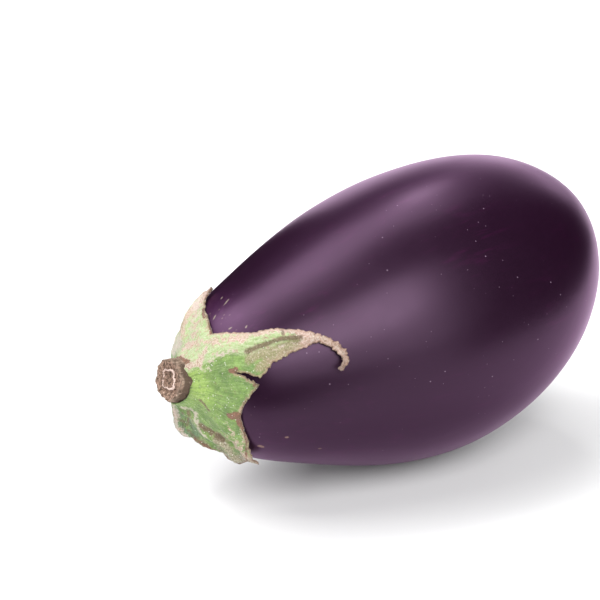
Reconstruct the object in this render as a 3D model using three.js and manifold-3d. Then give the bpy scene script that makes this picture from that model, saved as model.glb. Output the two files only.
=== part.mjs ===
// A whole eggplant lying on its side: the fruit, its green calyx of joined sepals and the cut stem stump.
// Millimetres. +X runs from the stem end to the blossom end, +Z is up, and the floor is z = 0.
import * as THREE from 'three';
import { mergeVertices } from 'three/addons/utils/BufferGeometryUtils.js';
import Module from 'manifold-3d';

const wasm = await Module();
wasm.setup();

// ---- Driving dimensions -------------------------------------------------------------------------------

// The fruit. Its outline runs from the stem pole (turn = 0) to the blossom pole (turn = PI):
// station = LENGTH / 2 * (1 - cos turn),
// radius = BELLY * sin turn * (1 + sum of SWELL[k] * cos (k + 1) turn).
const LENGTH = 162.5;
const BELLY = 48.1;
const SWELL = [0.016, 0.043, 0.098, 0.031, 0.026];
const BOW = 6.7; // how far the middle of the centreline hangs below its two ends
const REST_TILT = THREE.MathUtils.degToRad(7.5); // the blossom end lies higher than the stem end
const FLAT_DEPTH = 0.6; // how much the weight flattens the skin where the fruit rests
const FRUIT_SIDES = 60;
const FRUIT_ROWS = 44;

// Places on the stem end are given by their distance from the middle of the stem, over the skin, and by
// their direction: 0 is up, 90 is the near side (-Y).
const STEM_OFFSET = 6; // the stem stands this far above the pole
const SWELLINGS = [
  { distance: 5, direction: 290, height: -4, spread: 14 }, // the shallow dimple round the stem
  { distance: 19, direction: 198, height: 3, spread: 12 }, // the shoulder below it
  { distance: 50, direction: 312, height: 0.9, spread: 32 }, // the fuller flank on the far side
];

// The calyx is one sheet that lies on the skin. It is thick and fleshy round the stem, where a low cone of
// flesh climbs the stump, highest above and below it, and thins out towards the tips and the free edges.
const SKIN_GAP = 0.3;
const EDGE_THICKNESS = 0.8;
const EDGE_SHARPNESS = 4; // the power of the fall in thickness from the middle of a sepal to its edge
const TIP_THICKNESS = 1.1;
const TIP_FULLNESS = 0.4; // share of the thickness left at the very tip
const FLESH = { rise: 0.6, fade: 10 }; // added at the collar, with the distance over which it fades
const CONE = { rise: 5.6, climb: 3, direction: THREE.MathUtils.degToRad(-10), power: 4, fade: 4 };
const END_ROUNDNESS = 60; // radius that the cone's wall is drawn in by, so that it stays beside the stump
const COLLAR_RADIUS = 8.2;
const CAP_ROWS = 9;
const RIPPLE = { out: 0.35, back: 0.2, beat: 2.4 }; // the ragged edge steps in and out row by row
const RIB_LIFT = 0.4; // share of a sepal's lift that its midrib gets

// Each sepal is a run of stations from its root to its tip. A station holds the two edge points that face
// each other: [distance, direction, distance, direction]. `lift` is how far the tip stands off the skin.
const SEPALS = [
  {
    // long hooked sepal on the near side
    columns: 16,
    rows: 28,
    lift: 2.6,
    liftFrom: 0.6,
    stations: [
      [18.2, 13, 19.2, 66],
      [21.5, 23, 22.9, 69.2],
      [24.8, 30.5, 26.6, 72.9],
      [28.6, 36.4, 29.6, 68.8],
      [32.2, 38.6, 31.8, 64],
      [35.6, 40.4, 35, 62.6],
      [39, 43.6, 38.4, 60.6],
      [42.4, 47.2, 41.8, 60],
      [46, 50.6, 44.8, 58.7],
      [49.4, 54.8, 47.4, 59],
      [52.4, 59.4, 49.9, 61.8],
      [54.6, 64, 51.9, 65.4],
      [55.7, 68.6, 53.1, 68.9],
      [55.2, 72.8, 53.2, 71.8],
      [52.4, 76.2, 51.4, 74.6],
    ],
  },
  {
    // small lobe, torn from the long sepal
    columns: 10,
    rows: 7,
    lift: 1,
    liftFrom: 0,
    stations: [
      [19.2, 66, 21.4, 110],
      [21.9, 70, 21.7, 100.4],
      [24, 74, 23.4, 89],
      [26.6, 78, 26, 80.4],
    ],
  },
  {
    // broad lower lobe with a blunt end
    columns: 18,
    rows: 12,
    lift: 2.7,
    liftFrom: 0.35,
    stations: [
      [21.4, 110, 22, 186],
      [23.4, 121.4, 24.2, 178],
      [26, 129, 25.4, 170],
      [28.2, 136.6, 26.8, 166],
      [30.8, 142.8, 28.8, 165],
      [34.6, 148.6, 31.6, 160],
    ],
  },
  {
    // folded lobe under the stem
    columns: 12,
    rows: 6,
    lift: 0,
    liftFrom: 0,
    stations: [
      [22, 186, 17.5, 246],
      [23.4, 188, 20, 239],
      [24, 193, 21.4, 232],
      [23.4, 200, 22, 224],
    ],
  },
  {
    // sepal on the far side
    columns: 12,
    rows: 10,
    lift: 1.2,
    liftFrom: 0.4,
    stations: [
      [17.5, 246, 19.5, 303],
      [23.5, 253, 23.5, 292],
      [29, 261, 28.6, 284],
      [33.6, 267.5, 33.2, 277.5],
      [37, 271.5, 36.8, 274],
    ],
  },
  {
    // upper sepal
    columns: 16,
    rows: 12,
    lift: 0.9,
    liftFrom: 0.5,
    stations: [
      [19.5, 303, 18.2, 373],
      [21.8, 308, 20, 360.4],
      [24, 312.6, 22.3, 351],
      [26.4, 316, 24.2, 341],
      [29, 319.4, 27.6, 334],
      [31.8, 323, 31.2, 330],
      [34.8, 326.4, 34.4, 328.4],
    ],
  },
];

// Ridges and grooves of the sheet: each follows a path of [distance, direction] points.
const RELIEF = [
  { height: 0.9, width: 2.2, path: [[8, 40], [16, 38], [24, 42], [32, 44], [40, 50], [47, 56]] },
  { height: -0.8, width: 1.8, path: [[21.9, 55], [26.8, 52], [32.2, 50], [37.3, 51.4], [41.9, 54]] },
  { height: 1.5, width: 2.6, path: [[14, 322], [19, 320], [27, 322], [33, 326]] },
  { height: 0.6, width: 2.0, path: [[8, 95], [16, 128], [26, 142], [31, 148]] },
  { height: 0.5, width: 2.2, path: [[18, 268], [24, 270], [32, 272]] },
  { height: 1.6, width: 1.9, path: [[9.6, 176], [11.4, 163], [15.7, 162], [20.6, 155], [30, 158]] },
  { height: -0.8, width: 1.9, path: [[13, 163], [15.8, 159], [19.6, 150], [23.5, 147]] },
  { height: 2.2, width: 1.8, path: [[11, 210], [13.4, 206], [16.3, 200]] },
  { height: 2.6, width: 1.8, path: [[18.4, 196.5], [20.4, 191], [21.6, 186], [22.6, 180], [25.6, 166]] },
  { height: -0.7, width: 2.2, path: [[12, 186], [15, 182], [18, 179]] },
];

// The stem stump leans up from the middle of the calyx.
const STEM_RADIUS = 6.9;
const ROOT_RADIUS = 6.7;
const ROOT_SWELL = [0.2, 0.6]; // shares of the length between which the root widens to the full radius
const STEM_ROOT = 1.2; // the root's height above the skin
const STEM_LENGTH = 10.6;
const STEM_LEAN = THREE.MathUtils.degToRad(19); // from the fruit's own axis, upwards
const STEM_SIDES = 28;
const STEM_ROWS = 7;
const STEM_RIBS = [
  { count: 1, depth: 0.06, start: -3.6 },
  { count: 5, depth: 0.03, start: 1 },
  { count: 9, depth: 0.02, start: 0 },
];
// The cut face as rings: share of the radius and height above the rim. A raised woody ring stands round the
// sunken pith.
const CUT_FACE = [
  [0.94, 0.7],
  [0.78, 0.5],
  [0.67, 0.1],
  [0.57, -0.2],
  [0.5, 0.6],
  [0.44, 0.6],
  [0.38, -0.3],
];
const PITH_DEPTH = 0.5;

// ---- Solids -------------------------------------------------------------------------------------------

function merged(geometry) {
  const plain = geometry.clone();
  plain.deleteAttribute('normal');
  plain.deleteAttribute('uv');
  return mergeVertices(plain, 1e-4);
}

function toSolid(geometry) {
  const closed = merged(geometry);
  const vertProperties = new Float32Array(closed.attributes.position.array);
  const triVerts = new Uint32Array(closed.index.array);
  return new wasm.Manifold(new wasm.Mesh({ numProp: 3, vertProperties, triVerts }));
}

function toGeometry(solid) {
  const mesh = solid.getMesh();
  const geometry = new THREE.BufferGeometry();
  geometry.setAttribute('position', new THREE.BufferAttribute(mesh.vertProperties, 3));
  geometry.setIndex(new THREE.BufferAttribute(mesh.triVerts, 1));
  geometry.computeVertexNormals();
  return geometry;
}

function indexed(points, triangles) {
  const geometry = new THREE.BufferGeometry();
  geometry.setFromPoints(points);
  geometry.setIndex(triangles);
  geometry.computeVertexNormals();
  return geometry;
}

// ---- The fruit's skin ---------------------------------------------------------------------------------

function outline(turn) {
  const swell = SWELL.reduce((sum, part, k) => sum + part * Math.cos((k + 1) * turn), 1);
  return { station: (LENGTH / 2) * (1 - Math.cos(turn)), radius: BELLY * Math.sin(turn) * swell };
}

// Arc length over the skin from the stem pole, at even steps of turn.
const ARC_STEPS = 600;
const arcs = [0];
for (let step = 1; step <= ARC_STEPS; step += 1) {
  const before = outline((Math.PI * (step - 1)) / ARC_STEPS);
  const here = outline((Math.PI * step) / ARC_STEPS);
  arcs.push(arcs[step - 1] + Math.hypot(here.station - before.station, here.radius - before.radius));
}

function turnAtArc(arc) {
  const step = arcs.findIndex((length) => length > arc);
  const share = (arc - arcs[step - 1]) / (arcs[step] - arcs[step - 1]);
  return (Math.PI * (step - 1 + share)) / ARC_STEPS;
}

// A place on the stem end, flattened: x is up the fruit's end, y is towards its near side.
function flattened(distance, direction) {
  const angle = THREE.MathUtils.degToRad(direction);
  return new THREE.Vector2(STEM_OFFSET + distance * Math.cos(angle), distance * Math.sin(angle));
}

function bump(value, width) {
  return Math.exp(-((value / width) ** 2));
}

// How far the swellings move the skin.
function skinRise(turn, around) {
  const step = (turn / Math.PI) * ARC_STEPS;
  const whole = Math.min(ARC_STEPS - 1, Math.floor(step));
  const arc = THREE.MathUtils.lerp(arcs[whole], arcs[whole + 1], step - whole);
  const place = new THREE.Vector2(arc * Math.cos(around), arc * Math.sin(around));
  return SWELLINGS.reduce((sum, { distance, direction, height, spread }) => {
    return sum + height * bump(place.distanceTo(flattened(distance, direction)), spread);
  }, 0);
}

// The bare figure of revolution about the bowed centreline; `around` is 0 on top and PI / 2 on the near side.
function plainSkin(turn, around) {
  const { station, radius } = outline(turn);
  const share = station / LENGTH;
  const bow = -4 * BOW * share * (1 - share);
  return new THREE.Vector3(station, -radius * Math.sin(around), bow + radius * Math.cos(around));
}

function plainNormal(turn, around) {
  const nudge = 1e-3;
  const safe = THREE.MathUtils.clamp(turn, 2 * nudge, Math.PI - 2 * nudge);
  const along = plainSkin(safe + nudge, around).sub(plainSkin(safe - nudge, around));
  const across = plainSkin(safe, around + nudge).sub(plainSkin(safe, around - nudge));
  return across.cross(along).normalize();
}

// A point `height` above the skin.
function skinPoint(turn, around, height = 0) {
  const rise = skinRise(turn, around) + height;
  return plainSkin(turn, around).addScaledVector(plainNormal(turn, around), rise);
}

function stemEndPoint(distance, direction, height) {
  const place = flattened(distance, direction);
  return skinPoint(turnAtArc(place.length()), Math.atan2(place.y, place.x), height);
}

// The fruit's own frame, tilted as it rests. The floor is set below, from the lowest point of the skin.
const resting = new THREE.Matrix4().makeRotationY(-REST_TILT);

function fruitGeometry() {
  const sphere = merged(new THREE.SphereGeometry(1, FRUIT_SIDES, FRUIT_ROWS));
  const position = sphere.attributes.position;
  for (let i = 0; i < position.count; i += 1) {
    const turn = Math.acos(THREE.MathUtils.clamp(position.getY(i), -1, 1));
    const around = Math.atan2(position.getZ(i), position.getX(i));
    const point = skinPoint(turn, around).applyMatrix4(resting);
    position.setXYZ(i, point.x, point.y, point.z);
  }
  return sphere;
}

// ---- The calyx ----------------------------------------------------------------------------------------

function pathDistance(place, path) {
  let nearest = Infinity;
  for (let i = 1; i < path.length; i += 1) {
    const line = new THREE.Line3(
      new THREE.Vector3(path[i - 1].x, path[i - 1].y, 0),
      new THREE.Vector3(path[i].x, path[i].y, 0),
    );
    const foot = line.closestPointToPoint(new THREE.Vector3(place.x, place.y, 0), true, new THREE.Vector3());
    nearest = Math.min(nearest, Math.hypot(foot.x - place.x, foot.y - place.y));
  }
  return nearest;
}

const reliefPaths = RELIEF.map(({ path, ...rest }) => ({
  ...rest,
  path: path.map(([distance, direction]) => flattened(distance, direction)),
}));

function relief(place) {
  return reliefPaths.reduce(
    (sum, { height, width, path }) => sum + height * bump(pathDistance(place, path), width),
    0,
  );
}

// How high the cone of flesh stands over a place.
function coneRise(distance, direction) {
  const climb = Math.cos(THREE.MathUtils.degToRad(direction) - CONE.direction) ** CONE.power;
  return (CONE.rise + CONE.climb * climb) * Math.exp(-(distance - COLLAR_RADIUS) / CONE.fade);
}

// The sheet's two faces over one place: `fullness` is 0 at a free edge and 1 inside.
function sheetNode(distance, direction, fullness, lift) {
  const rise = SKIN_GAP + lift;
  const cone = coneRise(distance, direction);
  const flesh = FLESH.rise * Math.exp(-(distance - COLLAR_RADIUS) / FLESH.fade);
  const body = TIP_THICKNESS + flesh + cone + relief(flattened(distance, direction));
  const thickness = Math.max(EDGE_THICKNESS, THREE.MathUtils.lerp(EDGE_THICKNESS, body, fullness));
  return {
    bottom: stemEndPoint(distance, direction, rise),
    top: stemEndPoint(distance / (1 + cone / END_ROUNDNESS), direction, rise + thickness),
  };
}

function sepalPlace(sepal, along, across) {
  const left = sepal.leftEdge.getPoint(along);
  const right = sepal.rightEdge.getPoint(along);
  return left.clone().lerp(right, (across + 1) / 2);
}

function ripple(row, side) {
  const step = row % 2 ? RIPPLE.out : -RIPPLE.back;
  return step * Math.sin(RIPPLE.beat * row + side);
}

function sepalNode(sepal, row, column) {
  const along = row / sepal.rows;
  const across = (2 * column) / sepal.columns - 1;
  const place = sepalPlace(sepal, along, across);
  const atSide = Math.abs(across) === 1 && row > 0;
  const inward = sepalPlace(sepal, along, 0).sub(place);
  const span = Math.hypot(inward.x, THREE.MathUtils.degToRad(inward.y) * place.x);
  if (atSide && span > 0) {
    place.addScaledVector(inward, ripple(row, across) / span);
  }
  const lifted = THREE.MathUtils.smoothstep(along, sepal.liftFrom, 1);
  const lift = sepal.lift * lifted * THREE.MathUtils.lerp(RIB_LIFT, 1, Math.abs(across));
  const fullness = (1 - Math.abs(across) ** EDGE_SHARPNESS) * (row === sepal.rows ? TIP_FULLNESS : 1);
  return sheetNode(place.x, place.y, fullness, lift);
}

function capNode(sepal, row, column) {
  const out = row / CAP_ROWS;
  const across = (2 * column) / sepal.columns - 1;
  const root = sepalPlace(sepal, 0, across);
  const distance = THREE.MathUtils.lerp(COLLAR_RADIUS, root.x, out);
  return sheetNode(distance, root.y, 1 - (Math.abs(across) * out) ** EDGE_SHARPNESS, 0);
}

function calyxGeometry() {
  const nodes = [];
  const quads = [];
  const add = (node) => nodes.push(node) - 1;
  const joinRows = (inner, outer) => {
    for (let i = 1; i < inner.length; i += 1) {
      quads.push([inner[i - 1], inner[i], outer[i], outer[i - 1]]);
    }
  };

  for (const sepal of SEPALS) {
    sepal.leftEdge = new THREE.SplineCurve(sepal.stations.map(([d, a]) => new THREE.Vector2(d, a)));
    sepal.rightEdge = new THREE.SplineCurve(sepal.stations.map(([, , d, a]) => new THREE.Vector2(d, a)));
  }

  // The cap: rings of nodes from the collar out to the roots of the sepals.
  const rings = [];
  for (let row = 0; row <= CAP_ROWS; row += 1) {
    const ring = SEPALS.flatMap((sepal) =>
      Array.from({ length: sepal.columns }, (_, column) => add(capNode(sepal, row, column))),
    );
    ring.push(ring[0]);
    if (row > 0) {
      joinRows(rings[row - 1], ring);
    }
    rings.push(ring);
  }

  // The sepals: rows of nodes from each one's share of the last ring out to its tip.
  let first = 0;
  for (const sepal of SEPALS) {
    let inner = rings[CAP_ROWS].slice(first, first + sepal.columns + 1);
    for (let row = 1; row <= sepal.rows; row += 1) {
      const outer = inner.map((_, column) => add(sepalNode(sepal, row, column)));
      joinRows(inner, outer);
      inner = outer;
    }
    first += sepal.columns;
  }
  return closedSheet(nodes, quads);
}

// Top and bottom faces split alike, with walls along every free edge.
function closedSheet(nodes, quads) {
  const points = [...nodes.map((node) => node.top), ...nodes.map((node) => node.bottom)];
  const triangles = [];
  const count = nodes.length;
  const edges = new Map();
  for (const quad of quads) {
    const [a, b, c, d] = quad;
    triangles.push(a, b, c, a, c, d);
    triangles.push(a + count, c + count, b + count, a + count, d + count, c + count);
    quad.forEach((from, i) => edges.set(`${from} ${quad[(i + 1) % 4]}`, [from, quad[(i + 1) % 4]]));
  }
  for (const [from, to] of edges.values()) {
    if (!edges.has(`${to} ${from}`)) {
      triangles.push(to, from, from + count, to, from + count, to + count);
    }
  }
  for (const point of points) {
    point.applyMatrix4(resting);
  }
  return indexed(points, triangles);
}

// ---- The stem -----------------------------------------------------------------------------------------

function stemGeometry() {
  // The root stands square to the skin round it.
  const [above, near, below, far] = [0, 90, 180, 270].map((way) => stemEndPoint(STEM_RADIUS, way, STEM_ROOT));
  const straight = near.clone().sub(far).cross(above.clone().sub(below)).normalize();
  const base = stemEndPoint(0, 0, STEM_ROOT);
  const leaning = new THREE.Vector3(-Math.cos(STEM_LEAN), 0, Math.sin(STEM_LEAN));
  const axis = new THREE.QuadraticBezierCurve3(
    base,
    base.clone().addScaledVector(straight, STEM_LENGTH / 2),
    base.clone().addScaledVector(straight, STEM_LENGTH / 2).addScaledVector(leaning, STEM_LENGTH / 2),
  );
  const sideways = new THREE.Vector3(0, 1, 0);
  const points = [];
  const triangles = [];

  const addRing = (centre, direction, radius) => {
    const up = sideways.clone().cross(direction).normalize();
    for (let side = 0; side < STEM_SIDES; side += 1) {
      const angle = (2 * Math.PI * side) / STEM_SIDES;
      const ribs = STEM_RIBS.reduce((sum, { count, depth, start }) => {
        return sum + depth * Math.cos(count * angle + start);
      }, 0);
      const spoke = up.clone().multiplyScalar(Math.cos(angle)).addScaledVector(sideways, Math.sin(angle));
      points.push(centre.clone().addScaledVector(spoke, radius * (1 + ribs)));
    }
  };
  const joinRings = () => {
    const start = points.length - 2 * STEM_SIDES;
    for (let side = 0; side < STEM_SIDES; side += 1) {
      const a = start + side;
      const b = start + ((side + 1) % STEM_SIDES);
      triangles.push(a, b, b + STEM_SIDES, a, b + STEM_SIDES, a + STEM_SIDES);
    }
  };
  const addCap = (centre, ringStart, outward) => {
    const middle = points.push(centre) - 1;
    for (let side = 0; side < STEM_SIDES; side += 1) {
      const a = ringStart + side;
      const b = ringStart + ((side + 1) % STEM_SIDES);
      triangles.push(...(outward ? [middle, a, b] : [middle, b, a]));
    }
  };

  for (let row = 0; row <= STEM_ROWS; row += 1) {
    const share = row / STEM_ROWS;
    const widened = THREE.MathUtils.smoothstep(share, ...ROOT_SWELL);
    const radius = THREE.MathUtils.lerp(ROOT_RADIUS, STEM_RADIUS, widened);
    addRing(axis.getPoint(share), axis.getTangent(share), radius);
    if (row > 0) {
      joinRings();
    }
  }
  const end = axis.getPoint(1);
  const facing = axis.getTangent(1);
  for (const [share, rise] of CUT_FACE) {
    addRing(end.clone().addScaledVector(facing, rise), facing, STEM_RADIUS * share);
    joinRings();
  }
  addCap(end.clone().addScaledVector(facing, -PITH_DEPTH), points.length - STEM_SIDES, true);
  addCap(axis.getPoint(0), 0, false);
  for (const point of points) {
    point.applyMatrix4(resting);
  }
  return indexed(points, triangles);
}

// ---- The eggplant -------------------------------------------------------------------------------------

function namedMesh(name, geometry, colour, roughness) {
  const material = new THREE.MeshStandardMaterial({ color: colour, roughness, metalness: 0 });
  const mesh = new THREE.Mesh(geometry, material);
  mesh.name = name;
  return mesh;
}

const skin = fruitGeometry();
skin.computeBoundingBox();
const floor = skin.boundingBox.min.z + FLAT_DEPTH;
const below = new THREE.BoxGeometry(2 * LENGTH, 2 * LENGTH, LENGTH);
below.translate(LENGTH / 2, 0, floor - LENGTH / 2);

const eggplant = new THREE.Group();
eggplant.add(
  namedMesh('fruit', toGeometry(toSolid(skin).subtract(toSolid(below))), '#2c1a2b', 0.28),
  namedMesh('calyx', calyxGeometry(), '#8fae5a', 0.7),
  namedMesh('stem', stemGeometry(), '#75614f', 0.9),
);
const extent = new THREE.Box3().setFromObject(eggplant);
eggplant.position.set(-(extent.min.x + extent.max.x) / 2, -(extent.min.y + extent.max.y) / 2, -floor);

export default eggplant;
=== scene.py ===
"""An eggplant lying on its side: the glossy fruit, its green calyx and the cut stem stump.

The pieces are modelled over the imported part, in metres. +X runs from the stem end to the blossom end and
+Z is up. All of them ride on the part's one body.
"""

import logging
import math
from dataclasses import dataclass
from enum import Enum
from functools import partial, reduce
from typing import Callable

import bpy
import numpy as np
from mathutils import Euler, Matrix, Vector, kdtree, noise


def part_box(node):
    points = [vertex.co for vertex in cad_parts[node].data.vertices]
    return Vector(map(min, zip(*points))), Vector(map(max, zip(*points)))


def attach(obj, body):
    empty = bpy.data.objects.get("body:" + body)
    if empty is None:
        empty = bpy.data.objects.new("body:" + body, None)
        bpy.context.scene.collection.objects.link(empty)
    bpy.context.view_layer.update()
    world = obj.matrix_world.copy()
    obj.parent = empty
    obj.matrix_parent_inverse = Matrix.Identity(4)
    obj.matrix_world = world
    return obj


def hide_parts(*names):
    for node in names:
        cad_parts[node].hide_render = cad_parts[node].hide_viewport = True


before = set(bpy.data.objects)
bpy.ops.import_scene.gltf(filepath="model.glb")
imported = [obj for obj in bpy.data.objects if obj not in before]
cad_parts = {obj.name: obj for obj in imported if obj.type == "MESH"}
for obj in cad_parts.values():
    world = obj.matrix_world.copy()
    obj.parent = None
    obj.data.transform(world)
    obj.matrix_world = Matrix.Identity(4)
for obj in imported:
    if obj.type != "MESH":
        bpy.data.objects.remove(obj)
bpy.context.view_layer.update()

log = logging.getLogger("eggplant")

Colour = tuple[float, float, float]
Points = np.ndarray
MM = 0.001
WELD = partial(bpy.ops.mesh.remove_doubles, threshold=0.002 * MM)
FACE_OUT = partial(bpy.ops.mesh.normals_make_consistent, inside=False)


class Slot(Enum):
    """The part's material slots."""

    SKIN = "skin"
    CALYX = "calyx"
    STEM = "stem"


# ---- Small helpers ----


def deselect() -> None:
    """Leaves object mode clean, with nothing selected."""
    for piece in bpy.context.selected_objects:
        piece.select_set(False)


def edit_all(*steps: Callable[[], object]) -> None:
    """Runs mesh operators in edit mode, with the whole active mesh selected.

    Args:
        steps: The operators, ready to be called.
    """
    bpy.ops.object.mode_set(mode="EDIT")
    bpy.ops.mesh.select_all(action="SELECT")
    for step in steps:
        step()
    bpy.ops.object.mode_set(mode="OBJECT")


def flat_grid(name: str, columns: int, rows: int) -> tuple[bpy.types.Object, Points, Points]:
    """A flat grid as the start of a piece.

    Args:
        name: The object's name.
        columns: Faces across.
        rows: Faces along.

    Returns:
        The grid, and for each vertex its place across, from -1 to 1, and along, from 0 to 1.
    """
    deselect()
    bpy.ops.mesh.primitive_grid_add(x_subdivisions=columns, y_subdivisions=rows, size=2)
    grid = bpy.context.object
    grid.name = name
    places = vertex_places(grid)
    return grid, places[:, 0], (places[:, 1] + 1) / 2


def read(items: bpy.types.bpy_prop_collection, field: str, width: int = 1, kind: type = float) -> Points:
    """Reads a property of all vertices, edges or corners.

    Args:
        items: The vertices, edges, corners or stored values.
        field: The property's name.
        width: How many numbers it has for each.
        kind: The kind of number.

    Returns:
        The numbers in one row.
    """
    values = np.empty(width * len(items), dtype=kind)
    items.foreach_get(field, values)
    return values


def vertex_places(piece: bpy.types.Object) -> Points:
    """The places of all vertices, in metres, one row each."""
    return read(piece.data.vertices, "co", 3).reshape(-1, 3)


def move_vertices(piece: bpy.types.Object, places: Points) -> None:
    """Puts every vertex at a new place, given in metres."""
    piece.data.vertices.foreach_set("co", np.ascontiguousarray(places, dtype=float).ravel())
    piece.data.update()


def paint(piece: bpy.types.Object, name: str, values: Points) -> None:
    """Stores a number or a vector per vertex under a name that finishes can read.

    Args:
        piece: A mesh object.
        name: The attribute's name.
        values: One number or one row of three per vertex.
    """
    kind, field = ("FLOAT", "value") if values.ndim == 1 else ("FLOAT_VECTOR", "vector")
    layer = piece.data.attributes.get(name) or piece.data.attributes.new(name, kind, "POINT")
    layer.data.foreach_set(field, np.ascontiguousarray(values, dtype=np.float32).ravel())


def painted(piece: bpy.types.Object, name: str) -> Points:
    """Reads back the numbers that paint() stored under a name."""
    return read(piece.data.attributes[name].data, "value")


def smooth_step(low: float, high: float, values: Points) -> Points:
    """Eases from 0 at low to 1 at high."""
    share = np.clip((np.asarray(values, dtype=float) - low) / (high - low), 0, 1)
    return share * share * (3 - 2 * share)


def soft_band(edges: tuple[float, ...], values: Points) -> Points:
    """1 inside a band and 0 outside it, for the outside and the inside of each of its two soft edges."""
    return smooth_step(*edges[:2], values) * smooth_step(*edges[2:], values)


def lumps(places: Points, size: float, octaves: int = 2, shift: float = 0.0) -> Points:
    """Smooth irregular heights, about -1 to 1.

    Args:
        places: Places in any unit, one row each, with two or three columns.
        size: The size of one lump in the same unit.
        octaves: How many finer layers are laid over each other.
        shift: Moves the pattern, so that two uses differ.

    Returns:
        One height per place.
    """
    filled = np.zeros((len(places), 3))
    filled[:, : places.shape[1]] = places
    scaled = filled / size + shift
    return np.array([noise.fractal(Vector(row), 1.0, 2.0, octaves) for row in scaled])


def spline(stations: Points, along: Points) -> Points:
    """A smooth curve through evenly timed points.

    Args:
        stations: The points, one row each.
        along: Places on the curve, from 0 at the first point to 1 at the last.

    Returns:
        One row per place.
    """
    count = len(stations)
    steps = np.asarray(along) * (count - 1)
    first = np.clip(np.floor(steps).astype(int), 0, count - 2)
    t = (steps - first)[:, None]
    p0, p1 = stations[np.maximum(first - 1, 0)], stations[first]
    p2, p3 = stations[first + 1], stations[np.minimum(first + 2, count - 1)]
    v0, v1 = (p2 - p0) / 2, (p3 - p1) / 2
    return (2 * p1 - 2 * p2 + v0 + v1) * t**3 + (3 * p2 - 3 * p1 - 2 * v0 - v1) * t**2 + v0 * t + p1


def path_distance(places: Points, path: Points) -> Points:
    """The distance from each place to a line through several points.

    Args:
        places: Flat places, one row each.
        path: The line's points, one row each.

    Returns:
        One distance per place.
    """
    nearest = np.full(len(places), np.inf)
    for start, end in zip(path[:-1], path[1:]):
        leg = end - start
        share = np.clip(((places - start) @ leg) / (leg @ leg), 0, 1)
        nearest = np.minimum(nearest, np.linalg.norm(places - start - share[:, None] * leg, axis=1))
    return nearest


def wrapped(angle: Points, radius: Points | float, along: Points) -> Points:
    """Places on a tube, where a pattern that goes round closes without a seam."""
    return np.column_stack([np.cos(angle) * radius, np.sin(angle) * radius, along])


def toward(azimuth: float, elevation: float = 0.0) -> Vector:
    """The direction at an azimuth, counted from +Y towards +X, and an elevation, both in degrees."""
    way, height = math.radians(azimuth), math.radians(elevation)
    return Vector((math.sin(way) * math.cos(height), math.cos(way) * math.cos(height), math.sin(height)))


# ---- Finishes: the node workbench ----


class Flow:
    """A value on its way through a finish, which takes part in plain arithmetic."""

    def __init__(self, bench: "Bench", socket: bpy.types.NodeSocket) -> None:
        """Wraps one output socket."""
        self.bench = bench
        self.socket = socket

    def __add__(self, other: "Flow | float") -> "Flow":
        """Adds."""
        return self.bench.maths("ADD", self, other)

    __radd__ = __add__

    def __sub__(self, other: "Flow | float") -> "Flow":
        """Takes away."""
        return self.bench.maths("SUBTRACT", self, other)

    def __rsub__(self, other: "Flow | float") -> "Flow":
        """Takes this away from a number."""
        return self.bench.maths("SUBTRACT", other, self)

    def __mul__(self, other: "Flow | float") -> "Flow":
        """Multiplies."""
        return self.bench.maths("MULTIPLY", self, other)

    __rmul__ = __mul__

    def most(self, other: "Flow | float") -> "Flow":
        """The greater of two values."""
        return self.bench.maths("MAXIMUM", self, other)

    def ease(self, low: float, high: float) -> "Flow":
        """Eases from 0 at low to 1 at high, or the other way round where low is the greater."""
        limits = {"Value": self, "From Min": low, "From Max": high}
        return self.bench.out("ShaderNodeMapRange", "Result", {"interpolation_type": "SMOOTHSTEP"}, limits)

    def layered(self, *coats: tuple["Flow", "Flow | Colour"]) -> "Flow":
        """Lays colours over this one, in order.

        Args:
            coats: For each its mask and its colour.

        Returns:
            The colour.
        """
        return reduce(lambda under, coat: self.bench.blend(coat[0], under, coat[1]), coats, self)


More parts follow.
